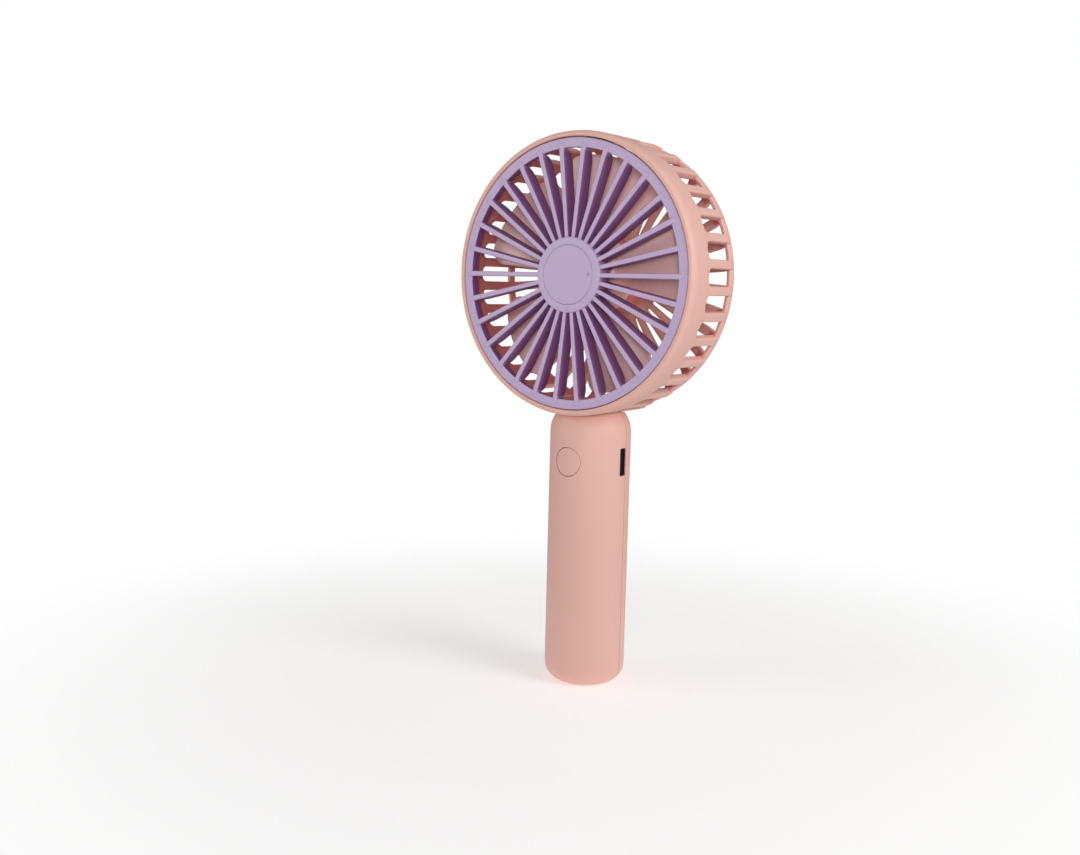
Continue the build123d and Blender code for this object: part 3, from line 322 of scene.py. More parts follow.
def object_noise(
    tree: bpy.types.NodeTree, scale: float, detail: float, stretch: tuple = (1, 1, 1)
) -> bpy.types.Node:
    """Noise texture on Object coordinates, stretched along the axes."""
    coordinates = tree.nodes.new("ShaderNodeTexCoord")
    mapping = tree.nodes.new("ShaderNodeMapping")
    mapping.inputs["Scale"].default_value = stretch
    noise = tree.nodes.new("ShaderNodeTexNoise")
    noise.inputs["Scale"].default_value = scale
    noise.inputs["Detail"].default_value = detail
    tree.links.new(coordinates.outputs["Object"], mapping.inputs["Vector"])
    tree.links.new(mapping.outputs["Vector"], noise.inputs["Vector"])
    return noise


def feed(tree: bpy.types.NodeTree, socket: bpy.types.NodeSocket, value: object) -> None:
    """Links an input to a socket, or sets it to a plain value."""
    if isinstance(value, bpy.types.NodeSocket):
        tree.links.new(value, socket)
    else:
        socket.default_value = value


def math_node(
    tree: bpy.types.NodeTree, operation: str, first: object, second: object
) -> bpy.types.NodeSocket:
    """Output of a Math node fed by sockets or numbers."""
    node = tree.nodes.new("ShaderNodeMath")
    node.operation = operation
    feed(tree, node.inputs[0], first)
    feed(tree, node.inputs[1], second)
    return node.outputs[0]


def colour_mix(
    tree: bpy.types.NodeTree, share: bpy.types.NodeSocket, first: object, second: object
) -> bpy.types.NodeSocket:
    """Colour between two others, each a socket or four numbers."""
    mix = tree.nodes.new("ShaderNodeMix")
    mix.data_type = "RGBA"
    feed(tree, mix.inputs["Factor"], share)
    feed(tree, mix.inputs["A"], first)
    feed(tree, mix.inputs["B"], second)
    return mix.outputs["Result"]


def build_grain() -> bpy.types.NodeTree:
    """Fine spark-eroded grain of a moulded face: its height for a Bump node."""
    tree = new_group(GroupName.GRAIN, {"Scale": 2600.0, "Depth": 1.0}, {"Height": "NodeSocketFloat"})
    fine = object_noise(tree, 2600.0, 3.0)
    tree.links.new(tree.nodes["in"].outputs["Scale"], fine.inputs["Scale"])
    lifted = math_node(tree, "SUBTRACT", fine.outputs["Fac"], 0.5)
    height = math_node(tree, "MULTIPLY", lifted, tree.nodes["in"].outputs["Depth"])
    tree.links.new(height, tree.nodes["out"].inputs["Height"])
    return tree


def build_pigment() -> bpy.types.NodeTree:
    """Slow drift of a moulded colour towards its deeper tone."""
    inputs = {"Base": (1.0, 1.0, 1.0, 1.0), "Deep": (1.0, 1.0, 1.0, 1.0), "Amount": 0.2, "Scale": 45.0}
    tree = new_group(GroupName.PIGMENT, inputs, {"Color": "NodeSocketColor"})
    slow = object_noise(tree, 45.0, 2.0)
    tree.links.new(tree.nodes["in"].outputs["Scale"], slow.inputs["Scale"])
    share = math_node(tree, "MULTIPLY", slow.outputs["Fac"], tree.nodes["in"].outputs["Amount"])
    given = tree.nodes["in"].outputs
    tree.links.new(colour_mix(tree, share, given["Base"], given["Deep"]), tree.nodes["out"].inputs["Color"])
    return tree


def build_handling() -> bpy.types.NodeTree:
    """Roughness of a handled face: a base value with faint smoother patches and fine scatter."""
    inputs = {"Roughness": 0.5, "Polish": 0.1}
    tree = new_group(GroupName.HANDLING, inputs, {"Roughness": "NodeSocketFloat"})
    patches = object_noise(tree, 70.0, 4.0)
    polish = math_node(tree, "MULTIPLY", patches.outputs["Fac"], tree.nodes["in"].outputs["Polish"])
    rough = math_node(tree, "SUBTRACT", tree.nodes["in"].outputs["Roughness"], polish)
    tree.links.new(rough, tree.nodes["out"].inputs["Roughness"])
    return tree


def build_brushed() -> bpy.types.NodeTree:
    """Fine lines along X of drawn or ground metal: their height and a mask."""
    outputs = {"Height": "NodeSocketFloat", "Mask": "NodeSocketFloat"}
    tree = new_group(GroupName.BRUSHED, {"Depth": 1.0}, outputs)
    lines = object_noise(tree, 900.0, 4.0, (0.06, 1.0, 1.0))
    height = math_node(tree, "MULTIPLY", lines.outputs["Fac"], tree.nodes["in"].outputs["Depth"])
    tree.links.new(height, tree.nodes["out"].inputs["Height"])
    tree.links.new(lines.outputs["Fac"], tree.nodes["out"].inputs["Mask"])
    return tree


def build_fade() -> bpy.types.NodeTree:
    """Alpha that falls smoothly from one to nothing between two distances from the origin."""
    tree = new_group(GroupName.FADE, {"From": 0.2, "To": 1.0}, {"Alpha": "NodeSocketFloat"})
    coordinates = tree.nodes.new("ShaderNodeTexCoord")
    length = tree.nodes.new("ShaderNodeVectorMath")
    length.operation = "LENGTH"
    tree.links.new(coordinates.outputs["Object"], length.inputs[0])
    ramp = tree.nodes.new("ShaderNodeMapRange")
    ramp.interpolation_type = "SMOOTHSTEP"
    tree.links.new(length.outputs["Value"], ramp.inputs["Value"])
    tree.links.new(tree.nodes["in"].outputs["From"], ramp.inputs["From Min"])
    tree.links.new(tree.nodes["in"].outputs["To"], ramp.inputs["From Max"])
    ramp.inputs["To Min"].default_value = 1.0
    ramp.inputs["To Max"].default_value = 0.0
    tree.links.new(ramp.outputs["Result"], tree.nodes["out"].inputs["Alpha"])
    return tree


class Workshop:
    """The shader groups, built once and placed in each finish."""

    def __init__(self) -> None:
        """Builds every group and every finish."""
        rows = frame["record"]["subparts"]
        self.slots = {row["node"]: row["material_slot"] for row in rows}
        self.trees = {
            GroupName.GRAIN: build_grain(),
            GroupName.PIGMENT: build_pigment(),
            GroupName.HANDLING: build_handling(),
            GroupName.BRUSHED: build_brushed(),
            GroupName.FADE: build_fade(),
        }
        self.materials = {slot: finish.material(self) for slot, finish in FINISHES.items()}

    def hand_over(self, piece: bpy.types.Object, body: str, node: str) -> bpy.types.Object:
        """Finishes a piece like the CAD node that it stands for, and lets it ride on its body.

        Args:
            piece: The new object.
            body: Name of the body that it moves with.
            node: Name of the CAD node that it stands for.

        Returns:
            The same object.
        """
        slot = self.slots[node]
        piece.data.materials.append(self.materials[slot])
        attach(piece, body)
        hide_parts(node)
        LOG.info("%s stands for %s: %d faces", piece.name, node, len(piece.data.polygons))
        return piece

    def dress(self) -> None:
        """Gives every carried-over node the finish of its slot in the record."""
        for name, node in frame["nodes"].items():
            for place in node.material_slots:
                place.material = self.materials[self.slots[name]]

    def place(self, tree: bpy.types.NodeTree, kind: GroupName, values: dict[str, object]) -> bpy.types.Node:
        """Puts a group in a material and sets its inputs."""
        node = tree.nodes.new("ShaderNodeGroup")
        node.node_tree = self.trees[kind]
        for name, value in values.items():
            node.inputs[name].default_value = value
        return node


@dataclass(frozen=True)
class MouldedFinish:
    """Moulded plastic: a pigment that drifts, a fine grain, handled roughness and, if given, a shaded tone of
    painted shade.
    """

    name: str
    base: tuple[float, float, float]
    deep: tuple[float, float, float]
    drift: float = 0.25
    roughness: float = 0.5
    polish: float = 0.08
    grain_scale: float = 2600.0
    grain_depth: float = 0.05
    coat: float = 0.0
    shaded: tuple[float, float, float] | None = None

    def material(self, workshop: Workshop) -> bpy.types.Material:
        """Builds the node material.

        Args:
            workshop: The shared shader groups.

        Returns:
            The finished material.
        """
        made, tree, shader = empty_material(self.name)
        pigment = workshop.place(
            tree, GroupName.PIGMENT, {"Base": (*self.base, 1), "Deep": (*self.deep, 1), "Amount": self.drift}
        )
        handling = workshop.place(
            tree, GroupName.HANDLING, {"Roughness": self.roughness + self.polish / 2, "Polish": self.polish}
        )
        grain = workshop.place(
            tree, GroupName.GRAIN, {"Scale": self.grain_scale, "Depth": self.grain_depth}
        )
        bump = tree.nodes.new("ShaderNodeBump")
        bump.inputs["Distance"].default_value = GRAIN_HEIGHT
        colour = pigment.outputs["Color"]
        # Painted shade: the colour goes to the shaded tone by each point's share.
        if self.shaded:
            colour = shaded_colour(tree, colour, self.shaded)
        tree.links.new(colour, shader.inputs["Base Color"])
        tree.links.new(handling.outputs["Roughness"], shader.inputs["Roughness"])
        tree.links.new(grain.outputs["Height"], bump.inputs["Height"])
        tree.links.new(bump.outputs["Normal"], shader.inputs["Normal"])
        shader.inputs["Coat Weight"].default_value = self.coat
        shader.inputs["Coat Roughness"].default_value = 0.25
        return made


@dataclass(frozen=True)
class MetalFinish:
    """Drawn, ground or plated metal with fine lines."""

    name: str
    base: tuple[float, float, float]
    roughness: float = 0.35
    metallic: float = 1.0
    line_depth: float = 0.1

    def material(self, workshop: Workshop) -> bpy.types.Material:
        """Builds the node material.

        Args:
            workshop: The shared shader groups.

        Returns:
            The finished material.
        """
        made, tree, shader = empty_material(self.name)
        lines = workshop.place(tree, GroupName.BRUSHED, {"Depth": self.line_depth})
        dark = (*[c * LINE_SHADE for c in self.base], 1)
        tone = colour_mix(tree, lines.outputs["Mask"], dark, (*self.base, 1))
        bump = tree.nodes.new("ShaderNodeBump")
        bump.inputs["Distance"].default_value = LINE_HEIGHT
        handling = workshop.place(tree, GroupName.HANDLING, {"Roughness": self.roughness, "Polish": 0.1})
        tree.links.new(tone, shader.inputs["Base Color"])
        tree.links.new(lines.outputs["Height"], bump.inputs["Height"])
        tree.links.new(bump.outputs["Normal"], shader.inputs["Normal"])
        tree.links.new(handling.outputs["Roughness"], shader.inputs["Roughness"])
        shader.inputs["Metallic"].default_value = self.metallic
        return made


def shaded_colour(
    tree: bpy.types.NodeTree, colour: bpy.types.NodeSocket, shaded: tuple
) -> bpy.types.NodeSocket:
    """Colour that goes to a painted shaded tone by each point's share of painted shade and mark tone."""
    layer = tree.nodes.new("ShaderNodeAttribute")
    layer.attribute_name = "painted_shade_and_mark"
    return colour_mix(tree, layer.outputs["Fac"], colour, (*shaded, 1))


def empty_material(name: str) -> tuple[bpy.types.Material, bpy.types.NodeTree, bpy.types.Node]:
    """Material with only a Principled shader and its output."""
    made = bpy.data.materials.new(name)
    made.use_nodes = True
    tree = made.node_tree
    return made, tree, tree.nodes["Principled BSDF"]


FINISHES = {
    # The shaded tones below are painted shade for the cage's inner walls and the grille's vane sides, rim,
    # hub and skirt.
    "pink_shell": MouldedFinish(
        "rose_satin", (0.80, 0.47, 0.405), (0.76, 0.42, 0.35), shaded=(0.72, 0.23, 0.22)
    ),
    "lilac_grille": MouldedFinish(
        "lilac_satin", (0.56, 0.43, 0.63), (0.50, 0.37, 0.58), roughness=0.48, shaded=(0.25, 0.075, 0.26)
    ),
    # Blade base lighter than the shell's pink: painted light for blades that the grille's vanes keep in
    # shade.
    "pink_blade": MouldedFinish(
        "rose_gloss", (0.97, 0.62, 0.59), (0.96, 0.58, 0.54), roughness=0.32, grain_depth=0.01, coat=0.3
    ),
    "pink_button": MouldedFinish("rose_button", (0.80, 0.47, 0.405), (0.77, 0.43, 0.36), roughness=0.46),
    "nylon_white": MouldedFinish("nylon", (0.80, 0.79, 0.74), (0.74, 0.72, 0.66), roughness=0.45),
    "carbon": MouldedFinish("carbon", (0.03, 0.03, 0.03), (0.05, 0.05, 0.05), roughness=0.6),
    "lead_sleeve": MouldedFinish("lead_sleeve", (0.50, 0.03, 0.03), (0.42, 0.02, 0.02), roughness=0.4),
    "switch_black": MouldedFinish("switch_black", (0.012, 0.012, 0.013), (0.02, 0.02, 0.02), roughness=0.5),
    "board_green": MouldedFinish("solder_mask", (0.02, 0.15, 0.07), (0.015, 0.11, 0.05), roughness=0.3),
    "chip_black": MouldedFinish("chip_epoxy", (0.02, 0.02, 0.022), (0.03, 0.03, 0.03), roughness=0.55),
    "cell_sleeve": MouldedFinish("cell_sleeve", (0.03, 0.16, 0.38), (0.02, 0.12, 0.30), roughness=0.3),
    "fish_paper": MouldedFinish("fish_paper", (0.75, 0.74, 0.68), (0.70, 0.68, 0.60), roughness=0.8),
    "foam_grey": MouldedFinish(
        "foam", (0.10, 0.10, 0.11), (0.06, 0.06, 0.06), roughness=0.95, grain_scale=1500.0, grain_depth=1.5
    ),
    "motor_steel": MetalFinish("motor_steel", (0.62, 0.62, 0.63)),
    "screw_steel": MetalFinish("screw_steel", (0.55, 0.55, 0.56), roughness=0.3),
    "shaft_steel": MetalFinish("shaft_steel", (0.78, 0.78, 0.79), roughness=0.15),
    "bronze": MetalFinish("bronze", (0.55, 0.36, 0.18), roughness=0.5),
    "magnet": MetalFinish("ferrite", (0.06, 0.06, 0.065), roughness=0.7, metallic=0.3),
    "lamination": MetalFinish("lamination", (0.40, 0.40, 0.42), roughness=0.45),
    "copper": MetalFinish("copper", (0.78, 0.32, 0.16), roughness=0.3),
    "tin": MetalFinish("tin", (0.72, 0.72, 0.70), roughness=0.3),
    # socket_steel is near-black: painted shade that darkens the charging port's shell and lining.
    "socket_steel": MetalFinish("socket_steel", (0.02, 0.02, 0.021), roughness=0.5, metallic=0.4),
}


# ---------------------------------------------------------------- sub-assemblies


@dataclass(frozen=True)
class HeadFrame:
    """Frame of the head: across, down the handle, and depth behind the grille's front plane."""

    front: float
    height: float

    def place(self, shell: Shell) -> Shell:
        """The surface, drawn in millimetres in the head's frame, in metres in the part's frame."""
        x, down, depth = shell.points.T
        points = np.stack([x * MM, self.front + depth * MM, self.height - down * MM], -1)
        return Shell(points, shell.quads, shell.triangles, shell.painted_shade_and_mark)

    def piece(self, shell: Shell, name: str, smooth_angle: float = 40.0) -> bpy.types.Object:
        """Mesh object from a surface drawn in the head's frame."""
        return to_object(self.place(shell), name, smooth_angle)


@dataclass
class FrontGrille:
    """Rim, vanes, hub and skirt of the grille, and the cap in its hub.

    Args of the surfaces are in millimetres in the head's frame.
    """

    head: HeadFrame
    radius: float = 49.7
    rim_width: float = 3.6
    rim_front: float = 0.4
    rim_back: float = 2.4
    rim_edge: float = 0.45
    vane_count: int = 30
    vane_start: float = 13.1
    vane_end: float = 48.2
    vane_hub_width: float = 1.55
    vane_rim_width: float = 1.95
    vane_depth: float = 6.0
    vane_corner: float = 5.0
    vane_corner_radius: float = 46.3
    vane_edge: float = 0.32
    hub_radius: float = 13.85
    hub_proud: float = 0.77
    hub_edge: float = 0.6
    hub_wall: float = 1.5
    hub_plate: float = 1.63
    cap_radius: float = 10.9
    cap_well: float = 10.98
    cap_thickness: float = 1.0
    mark_place: tuple[float, float] = (9.1, -0.3)
    mark_size: float = 0.45
    mark_depth: float = 0.3
    skirt_inner: float = 47.8
    skirt_outer: float = 49.0
    skirt_front: float = 1.6
    skirt_back: float = 6.6
    lug_front: float = 4.4
    lug_back: float = 5.8
    lug_span: float = 9.0
    seating: tuple[float, float] = (-0.1, 0.08)
    steps: int = 240

    def rim(self) -> Shell:
        """Flat ring with softened edges, turned."""
        inner = self.radius - self.rim_width
        edges = [self.rim_edge, self.rim_edge, 0.2, 0.2]
        loop = ring_loop(inner, self.radius, self.rim_front, self.rim_back, edges)
        made = lathe(loop, self.steps)
        # Painted shade: the rim's inner wall and its back take the shaded tone.
        reach = np.hypot(*made.points[:, :2].T)
        made.painted_shade_and_mark = np.where((reach < inner + 0.05) | (made.points[:, 2] > self.rim_back - 0.2), 1.0, 0.0)
        return made

    def vane(self) -> Shell:
        """One vane along +X.

        The section at the radius r is a rounded rectangle from depth 0 to b(r). b is the full depth as
        far as the corner's start, falls along a quarter ellipse to the rim's back, and stays there.
        The section closes over the last part of the vane along a quarter circle.
        """
        start = self.vane_corner_radius - self.vane_corner
        r = np.concatenate(
            [
                np.linspace(self.vane_start, start, 12, endpoint=False),
                self.vane_corner_radius - self.vane_corner * np.cos(np.linspace(0, math.pi / 2, 14)),
                self.vane_end - 0.6 * (1 - np.sin(np.linspace(0, math.pi / 2, 7))),
            ]
        )
        t = np.clip((r - start) / self.vane_corner, 0, 1)
        drop = self.vane_depth - self.rim_back
        back = self.vane_depth - drop * (1 - np.sqrt(1 - t**2))
        share = (r - self.vane_start) / (self.vane_end - self.vane_start)
        width = self.vane_hub_width + share * (self.vane_rim_width - self.vane_hub_width)
        near_end = np.clip((self.vane_end - r) / 0.6, 0, 1)
        close = 0.35 + 0.65 * np.sqrt(1 - (1 - near_end) ** 2)
        section = rounded_section(width / 2 * close, back / 2 * close, self.vane_edge * close)
        across, depth = section[..., 0], section[..., 1]
        draft = 1 - 0.06 * depth / self.vane_depth
        grid = np.stack([r[:, None] + 0 * across, across * draft, depth + back[:, None] / 2], -1)
        made = grid_shell(grid)
        # Painted shade: the sides and back go to the shaded tone from just behind the front edge, fading out
        # near the rim.
        reach = made.points[:, 0]
        deep = made.points[:, 2]
        shade = np.clip((deep - 0.04) / 0.2, 0, 1) * (0.8 + 0.2 * deep / self.vane_depth)
        made.painted_shade_and_mark = shade * np.clip((self.radius - self.rim_width - reach) / 1.2, 0, 1)
        return made

    def hub(self) -> Shell:
        """Cup with a shallow well for the cap and a soft front edge."""
        front, back = -self.hub_proud, self.vane_depth
        inner = self.hub_radius - self.hub_wall
        edge = quarter(self.hub_radius - self.hub_edge, front + self.hub_edge, self.hub_edge, -90, 0)
        profile = np.concatenate(
            [
                [(4.0, front + self.cap_thickness), (self.cap_well, front + self.cap_thickness)],
                [(self.cap_well, front + 0.15), (self.cap_well + 0.12, front + 0.03)],
                [(self.cap_well + 0.25, front)],
                edge,
                [(self.hub_radius, back), (inner, back), (inner, self.hub_plate), (4.0, self.hub_plate)],
            ]
        )
        made = disc(profile, self.steps)
        # Painted shade: the cup's walls behind its front edge take the shaded tone.
        deep = (made.points[:, 2] > 0.3) & (np.hypot(*made.points[:, :2].T) > inner - 0.1)
        made.painted_shade_and_mark = np.where(deep, 1.0, 0.0)
        gate = pimple(0.72, 0.18, 0.07)
        # The gate's mark goes 0.12 of the way to the shaded tone.
        gate.painted_shade_and_mark = np.full(len(gate.points), 0.12)
        gate.points[:, :2] += (self.hub_radius + self.cap_well) / 2 * np.array([0.0, 1.0])
        gate.points[:, 2] += front
        return joined([made, gate])

    def skirt(self) -> Shell:
        """Thin ring behind the rim, and the lugs that lock under the lip."""
        inner, outer = self.skirt_inner, self.skirt_outer
        profile = ring_loop(inner, outer, self.skirt_front, self.skirt_back, [0.05, 0.05, 0.3, 0.3])
        ring = lathe(profile, self.steps)
        loop = ring_loop(outer - 0.5, self.radius, self.lug_front, self.lug_back, [0.1, 0.3, 0.3, 0.1])
        lugs = [lathe(loop, 8, turn - self.lug_span / 2, self.lug_span) for turn in LUG_TURNS]
        made = joined([ring, *lugs])
        # Painted shade: the skirt and its lugs, behind the rim, take the shaded tone in full.
        made.painted_shade_and_mark = np.ones(len(made.points))
        return made

    def cap(self) -> Shell:
        """Thin disc with a rolled edge and the small mark that its gate leaves near the edge.

        The front face lies at the hub's front. The mark is a dimple whose depth falls off with the
        square of the distance from its middle, as exp(-(distance / size) ** 2).
        """
        edge = 0.22
        r = np.concatenate([np.linspace(1.0, 7.6, 8), np.arange(7.8, self.cap_radius - edge, 0.12)])
        flat = np.stack([r, 0 * r - self.hub_proud], 1)
        roll = quarter(self.cap_radius - edge, -self.hub_proud + edge, edge, -90, 0)
        back = -self.hub_proud + self.cap_thickness
        profile = np.concatenate([flat, roll, [(self.cap_radius, back - 0.02), (1.0, back - 0.02)]])
        made = disc(profile, self.steps)
        x, y, d = made.points.T
        away = np.hypot(x - self.mark_place[0], y - self.mark_place[1])
        dimple = np.exp(-(away / self.mark_size) ** 2)
        made.points[:, 2] = np.where(d < 0, d + self.mark_depth * dimple, d)
        # The dimple's middle goes up to 0.55 of the way to the shaded tone: the mark's own tone and painted
        # shade in its hollow.
        made.painted_shade_and_mark = np.where(d < 0, 0.55 * dimple, 0.0)
        return made

    def build(self, shop: Workshop) -> list[bpy.types.Object]:
        """Makes the grille and its cap and hands them to the grille's body.

        Args:
            shop: The finishes.

        Returns:
            The two objects.
        """
        vanes = turned_copies(self.vane(), 360.0 / self.vane_count * np.arange(self.vane_count))
        body = joined([self.rim(), vanes, self.hub(), self.skirt()])
        cover = self.cap()
        for shell in (body, cover):
            shell.points[:, :2] += np.array(self.seating)
        grille = shop.hand_over(self.head.piece(body, "grille_moulding"), "grille", "front_grille")
        cap = shop.hand_over(self.head.piece(cover, "grille_cap"), "grille", "grille_hub_cap")
        return [grille, cap]


@dataclass
class RearCage:
    """Band, pierced drum, ribs, motor mount and neck plug of the cage, and the cap at its back."""

    head: HeadFrame
    lip_inner: float = 50.05
    lip_flat: float = 0.9
    lip_round: float = 3.0
    radius: float = 52.3
    band_back: float = 11.0
    band_edge: float = 0.5
    recess: float = 7.5
    lug_inner: float = 49.3
    lug_outer: float = 50.6
    lug_front: float = 2.7
    lug_back: float = 4.1
    lug_span: float = 10.0
    drum_inner: float = 49.5
    drum_outer: float = 51.0
    rib_count: int = 34
    rib_width: float = 3.4
    rib_root_width: float = 1.7
    rib_depth: float = 3.0
    rib_edge: float = 0.7
    rib_sink: float = 0.1
    flare: float = 2.6
    corner: float = 9.5
    depth: float = 36.7
    root_radius: float = 15.8
    slot_width: float = 7.2
    ring_front: float = 29.0
    ring_back: float = 32.5
    seat_half: float = 17.0
    bar_width: float = 5.0
    disc_radius: float = 17.8
    cup_inner: float = 12.35
    cup_outer: float = 14.2
    cup_mouth: float = 22.7
    notch_half: float = 7.0
    well_radius: float = 12.86
    well_floor: float = 35.9
    cap_radius: float = 12.8
    cap_back: float = 37.0
    plug_top: float = 50.9
    plug_end: float = 62.3
    plug_half: tuple[float, float, float] = (6.5, 5.0, 0.8)  # half-sizes and corner
    way_half: tuple[float, float, float] = (1.6, 0.75, 0.2)
    way_shift: float = -0.65
    shade_reach: float = 0.4
    shade_end: float = 4.0
    steps: int = 272

    def band(self) -> Shell:
        """Band with its rounded lip and the step that the grille sits in."""
        turn = np.linspace(0, math.pi / 2, 12)
        width = self.radius - self.lip_inner - self.lip_flat
        lip = np.stack(
            [self.radius - width + width * np.sin(turn), self.lip_round * (1 - np.cos(turn))], 1
        )
        rear = quarter(self.radius - self.band_edge, self.band_back - self.band_edge, self.band_edge, 0, 90)
        loop = np.concatenate(
            [
                [(self.lip_inner, 0.25), (self.lip_inner + 0.07, 0.07), (self.lip_inner + 0.25, 0)],
                lip,
                rear,
                [(self.drum_outer, self.band_back), (self.drum_inner, self.band_back)],
                [(self.drum_inner, self.recess), (self.lip_inner, self.recess)],
            ]
        )
        return lathe(loop, self.steps)

    def post(self) -> Shell:
        """Drum between two slots, with the rounded ends of the slots.

        At the depth d the half-width is half the pitch less the slot's own half-width: the square root
        of R^2 - (R - (d - front))^2 over the first R of its length, and R after that.
        """
        slot = self.slot_width / 2
        pitch = math.pi * (self.drum_inner + self.drum_outer) / self.rib_count
        near = self.band_back + slot * (1 - np.cos(np.linspace(0, math.pi / 2, 12)))
        d = np.concatenate([[self.band_back - 0.6], near, [self.ring_front + 0.8]])
        t = np.clip((d - self.band_back) / slot, 0, 1)
        half = pitch / 2 - slot * np.sqrt(1 - (1 - t) ** 2)
        wall = (self.drum_outer - self.drum_inner - self.rib_sink) / 2
        section = rounded_section(half, 0 * half + wall, 0 * half + 0.3)
        middle = (self.drum_outer + self.drum_inner) / 2
        angle, r = section[..., 0] / middle, middle + section[..., 1]
        grid = np.stack([r * np.cos(angle), r * np.sin(angle), d[:, None] + 0 * r], -1)
        return grid_shell(grid)

    def rib(self) -> Shell:
        """One rib along +X: a rounded bar swept straight back, round the corner and in to the mount.

        It flares where it leaves the band: at the distance e behind the band, each side stands out by
        R - sqrt(R^2 - (R - e)^2), so that the slots between the ribs end in a round. The bar lies just
        under the faces of the seat and the mount's disc, so that no two faces share a plane.
        """
        small = self.corner - self.rib_depth / 2
        sunk = self.corner + self.rib_sink
        centre_r, centre_d = self.radius - sunk, self.depth - sunk
        turn = np.linspace(0, math.pi / 2, 15)
        start = self.band_back - 1.2
        line = np.linspace(0, 1, 8)[1:-1, None]
        bend = np.stack([centre_r + small * np.cos(turn), centre_d + small * np.sin(turn)], 1)
        flare = self.band_back + self.flare * (1 - np.cos(np.linspace(0, math.pi / 2, 8)))
        down = np.stack([0 * flare + centre_r + small, flare], 1)
        inward = bend[-1] * (1 - line) + np.array([[self.root_radius, centre_d + small]]) * line
        ends = np.array([[centre_r + small, start]]), np.array([[self.root_radius, centre_d + small]])
        path = np.concatenate([ends[0], down, bend, inward, ends[1]])
        normal = np.concatenate(
            [
                np.tile([1.0, 0.0], (len(down) + 1, 1)),
                np.stack([np.cos(turn), np.sin(turn)], 1),
                np.tile([0.0, 1.0], (len(inward) + 1, 1)),
            ]
        )
        share = np.clip((centre_r - path[:, 0]) / (centre_r - self.root_radius), 0, 1)
        width = self.rib_width + share * (self.rib_root_width - self.rib_width)
        near = np.clip(1 - (path[:, 1] - self.band_back) / self.flare, 0, 1)
        width += 2 * self.flare * (1 - np.sqrt(1 - near**2))
        thick = 0 * width + self.rib_depth / 2
        edge = np.minimum(self.rib_edge, width / 2 - 0.05)
        section = rounded_section(width / 2, thick, edge, 5)
        across, out = section[..., 0], section[..., 1]
        r = path[:, 0, None] + normal[:, 0, None] * out
        d = path[:, 1, None] + normal[:, 1, None] * out
        return grid_shell(np.stack([r, across, d], -1))

    def rear_ring(self) -> Shell:
        """Ring that joins the ends of the drum's posts."""
        inner, outer = self.drum_inner, self.drum_outer
        loop = ring_loop(inner, outer, self.ring_front, self.ring_back, [0.4, 0.5, 0.5, 0.4])
        return lathe(loop, self.steps)

    def seat(self) -> Shell:
        """Closed part of the drum above the handle."""
        inner, outer = self.drum_inner, self.radius
        back = self.ring_back + self.rib_sink
        loop = ring_loop(inner, outer, self.band_back - 1, back, [0.1, 0.1, 0.8, 0.4])
        return lathe(loop, 40, DOWN - self.seat_half, 2 * self.seat_half)

    def mount(self) -> Shell:
        """Disc and cup that hold the motor, notched for its leads."""
        front = self.depth - self.rib_depth
        edge = quarter(self.disc_radius - 0.5, self.depth - 0.5, 0.5, 0, 90)
        profile = np.concatenate(
            [
                [(4.0, front), (self.disc_radius, front)],
                edge,
                [(self.well_radius + 0.2, self.depth), (self.well_radius, self.depth - 0.2)],
                [(self.well_radius, self.well_floor), (4.0, self.well_floor)],
            ]
        )
        plate = disc(profile, 160)
        step = front - 2.0
        full = ring_loop(self.cup_inner, self.cup_outer, self.cup_mouth, step, [0.4, 0.4, 0.05, 0.05])
        part = np.array(
            [(self.cup_inner, step - 0.1), (self.cup_outer, step - 0.1)]
            + [(self.cup_outer, front + 0.3), (self.cup_inner, front + 0.3)]
        )
        notched = lathe(part, 120, DOWN + self.notch_half, 360 - 2 * self.notch_half)
        return joined([plate, lathe(full, 128), notched])

    def bar(self) -> Shell:
        """Wide bar at the back that hides the leads, from the mount's disc down to the corner."""
        r = np.array([self.disc_radius - 1.0, self.radius - self.corner + 0.5])
        half = np.full(2, self.bar_width / 2)
        section = rounded_section(half, 0 * half + self.rib_depth / 2, 0 * half + 0.6)
        across, out = section[..., 0], section[..., 1] + self.depth - (self.rib_depth + self.rib_sink) / 2
        return grid_shell(np.stack([-across, r[:, None] + 0 * across, out], -1))

    def plug(self) -> Shell:
        """Neck plug inside the handle: a rounded rectangular tube round the leads' way."""
        middle = -self.head.front / MM
        outer, inner = (rounded_section(*sizes)[0] for sizes in (self.plug_half, self.way_half))
        rings = []
        for section, level, move in (
            (outer, self.plug_top, middle),
            (outer, self.plug_end, middle),
            (inner, self.plug_end, middle + self.way_shift),
            (inner, self.plug_top, middle + self.way_shift),
        ):
            rings.append(np.stack([section[:, 0], 0 * section[:, 0] + level, section[:, 1] + move], -1))
        return grid_shell(np.array(rings), wrap=True)

    def cap(self) -> Shell:
        """Disc over the motor's screws, with a soft edge and a shallow ring groove."""
        edge = 0.45
        back = self.cap_back
        roll = quarter(self.cap_radius - edge, back - edge, edge, 0, 90)
        profile = np.concatenate(
            [
                [(4.0, self.well_floor + 0.01), (self.cap_radius, self.well_floor + 0.01)],
                roll,
                [(9.2, back), (9.05, back - 0.18), (8.75, back - 0.18), (8.6, back), (2.0, back)],
            ]
        )
        return disc(profile, 160)

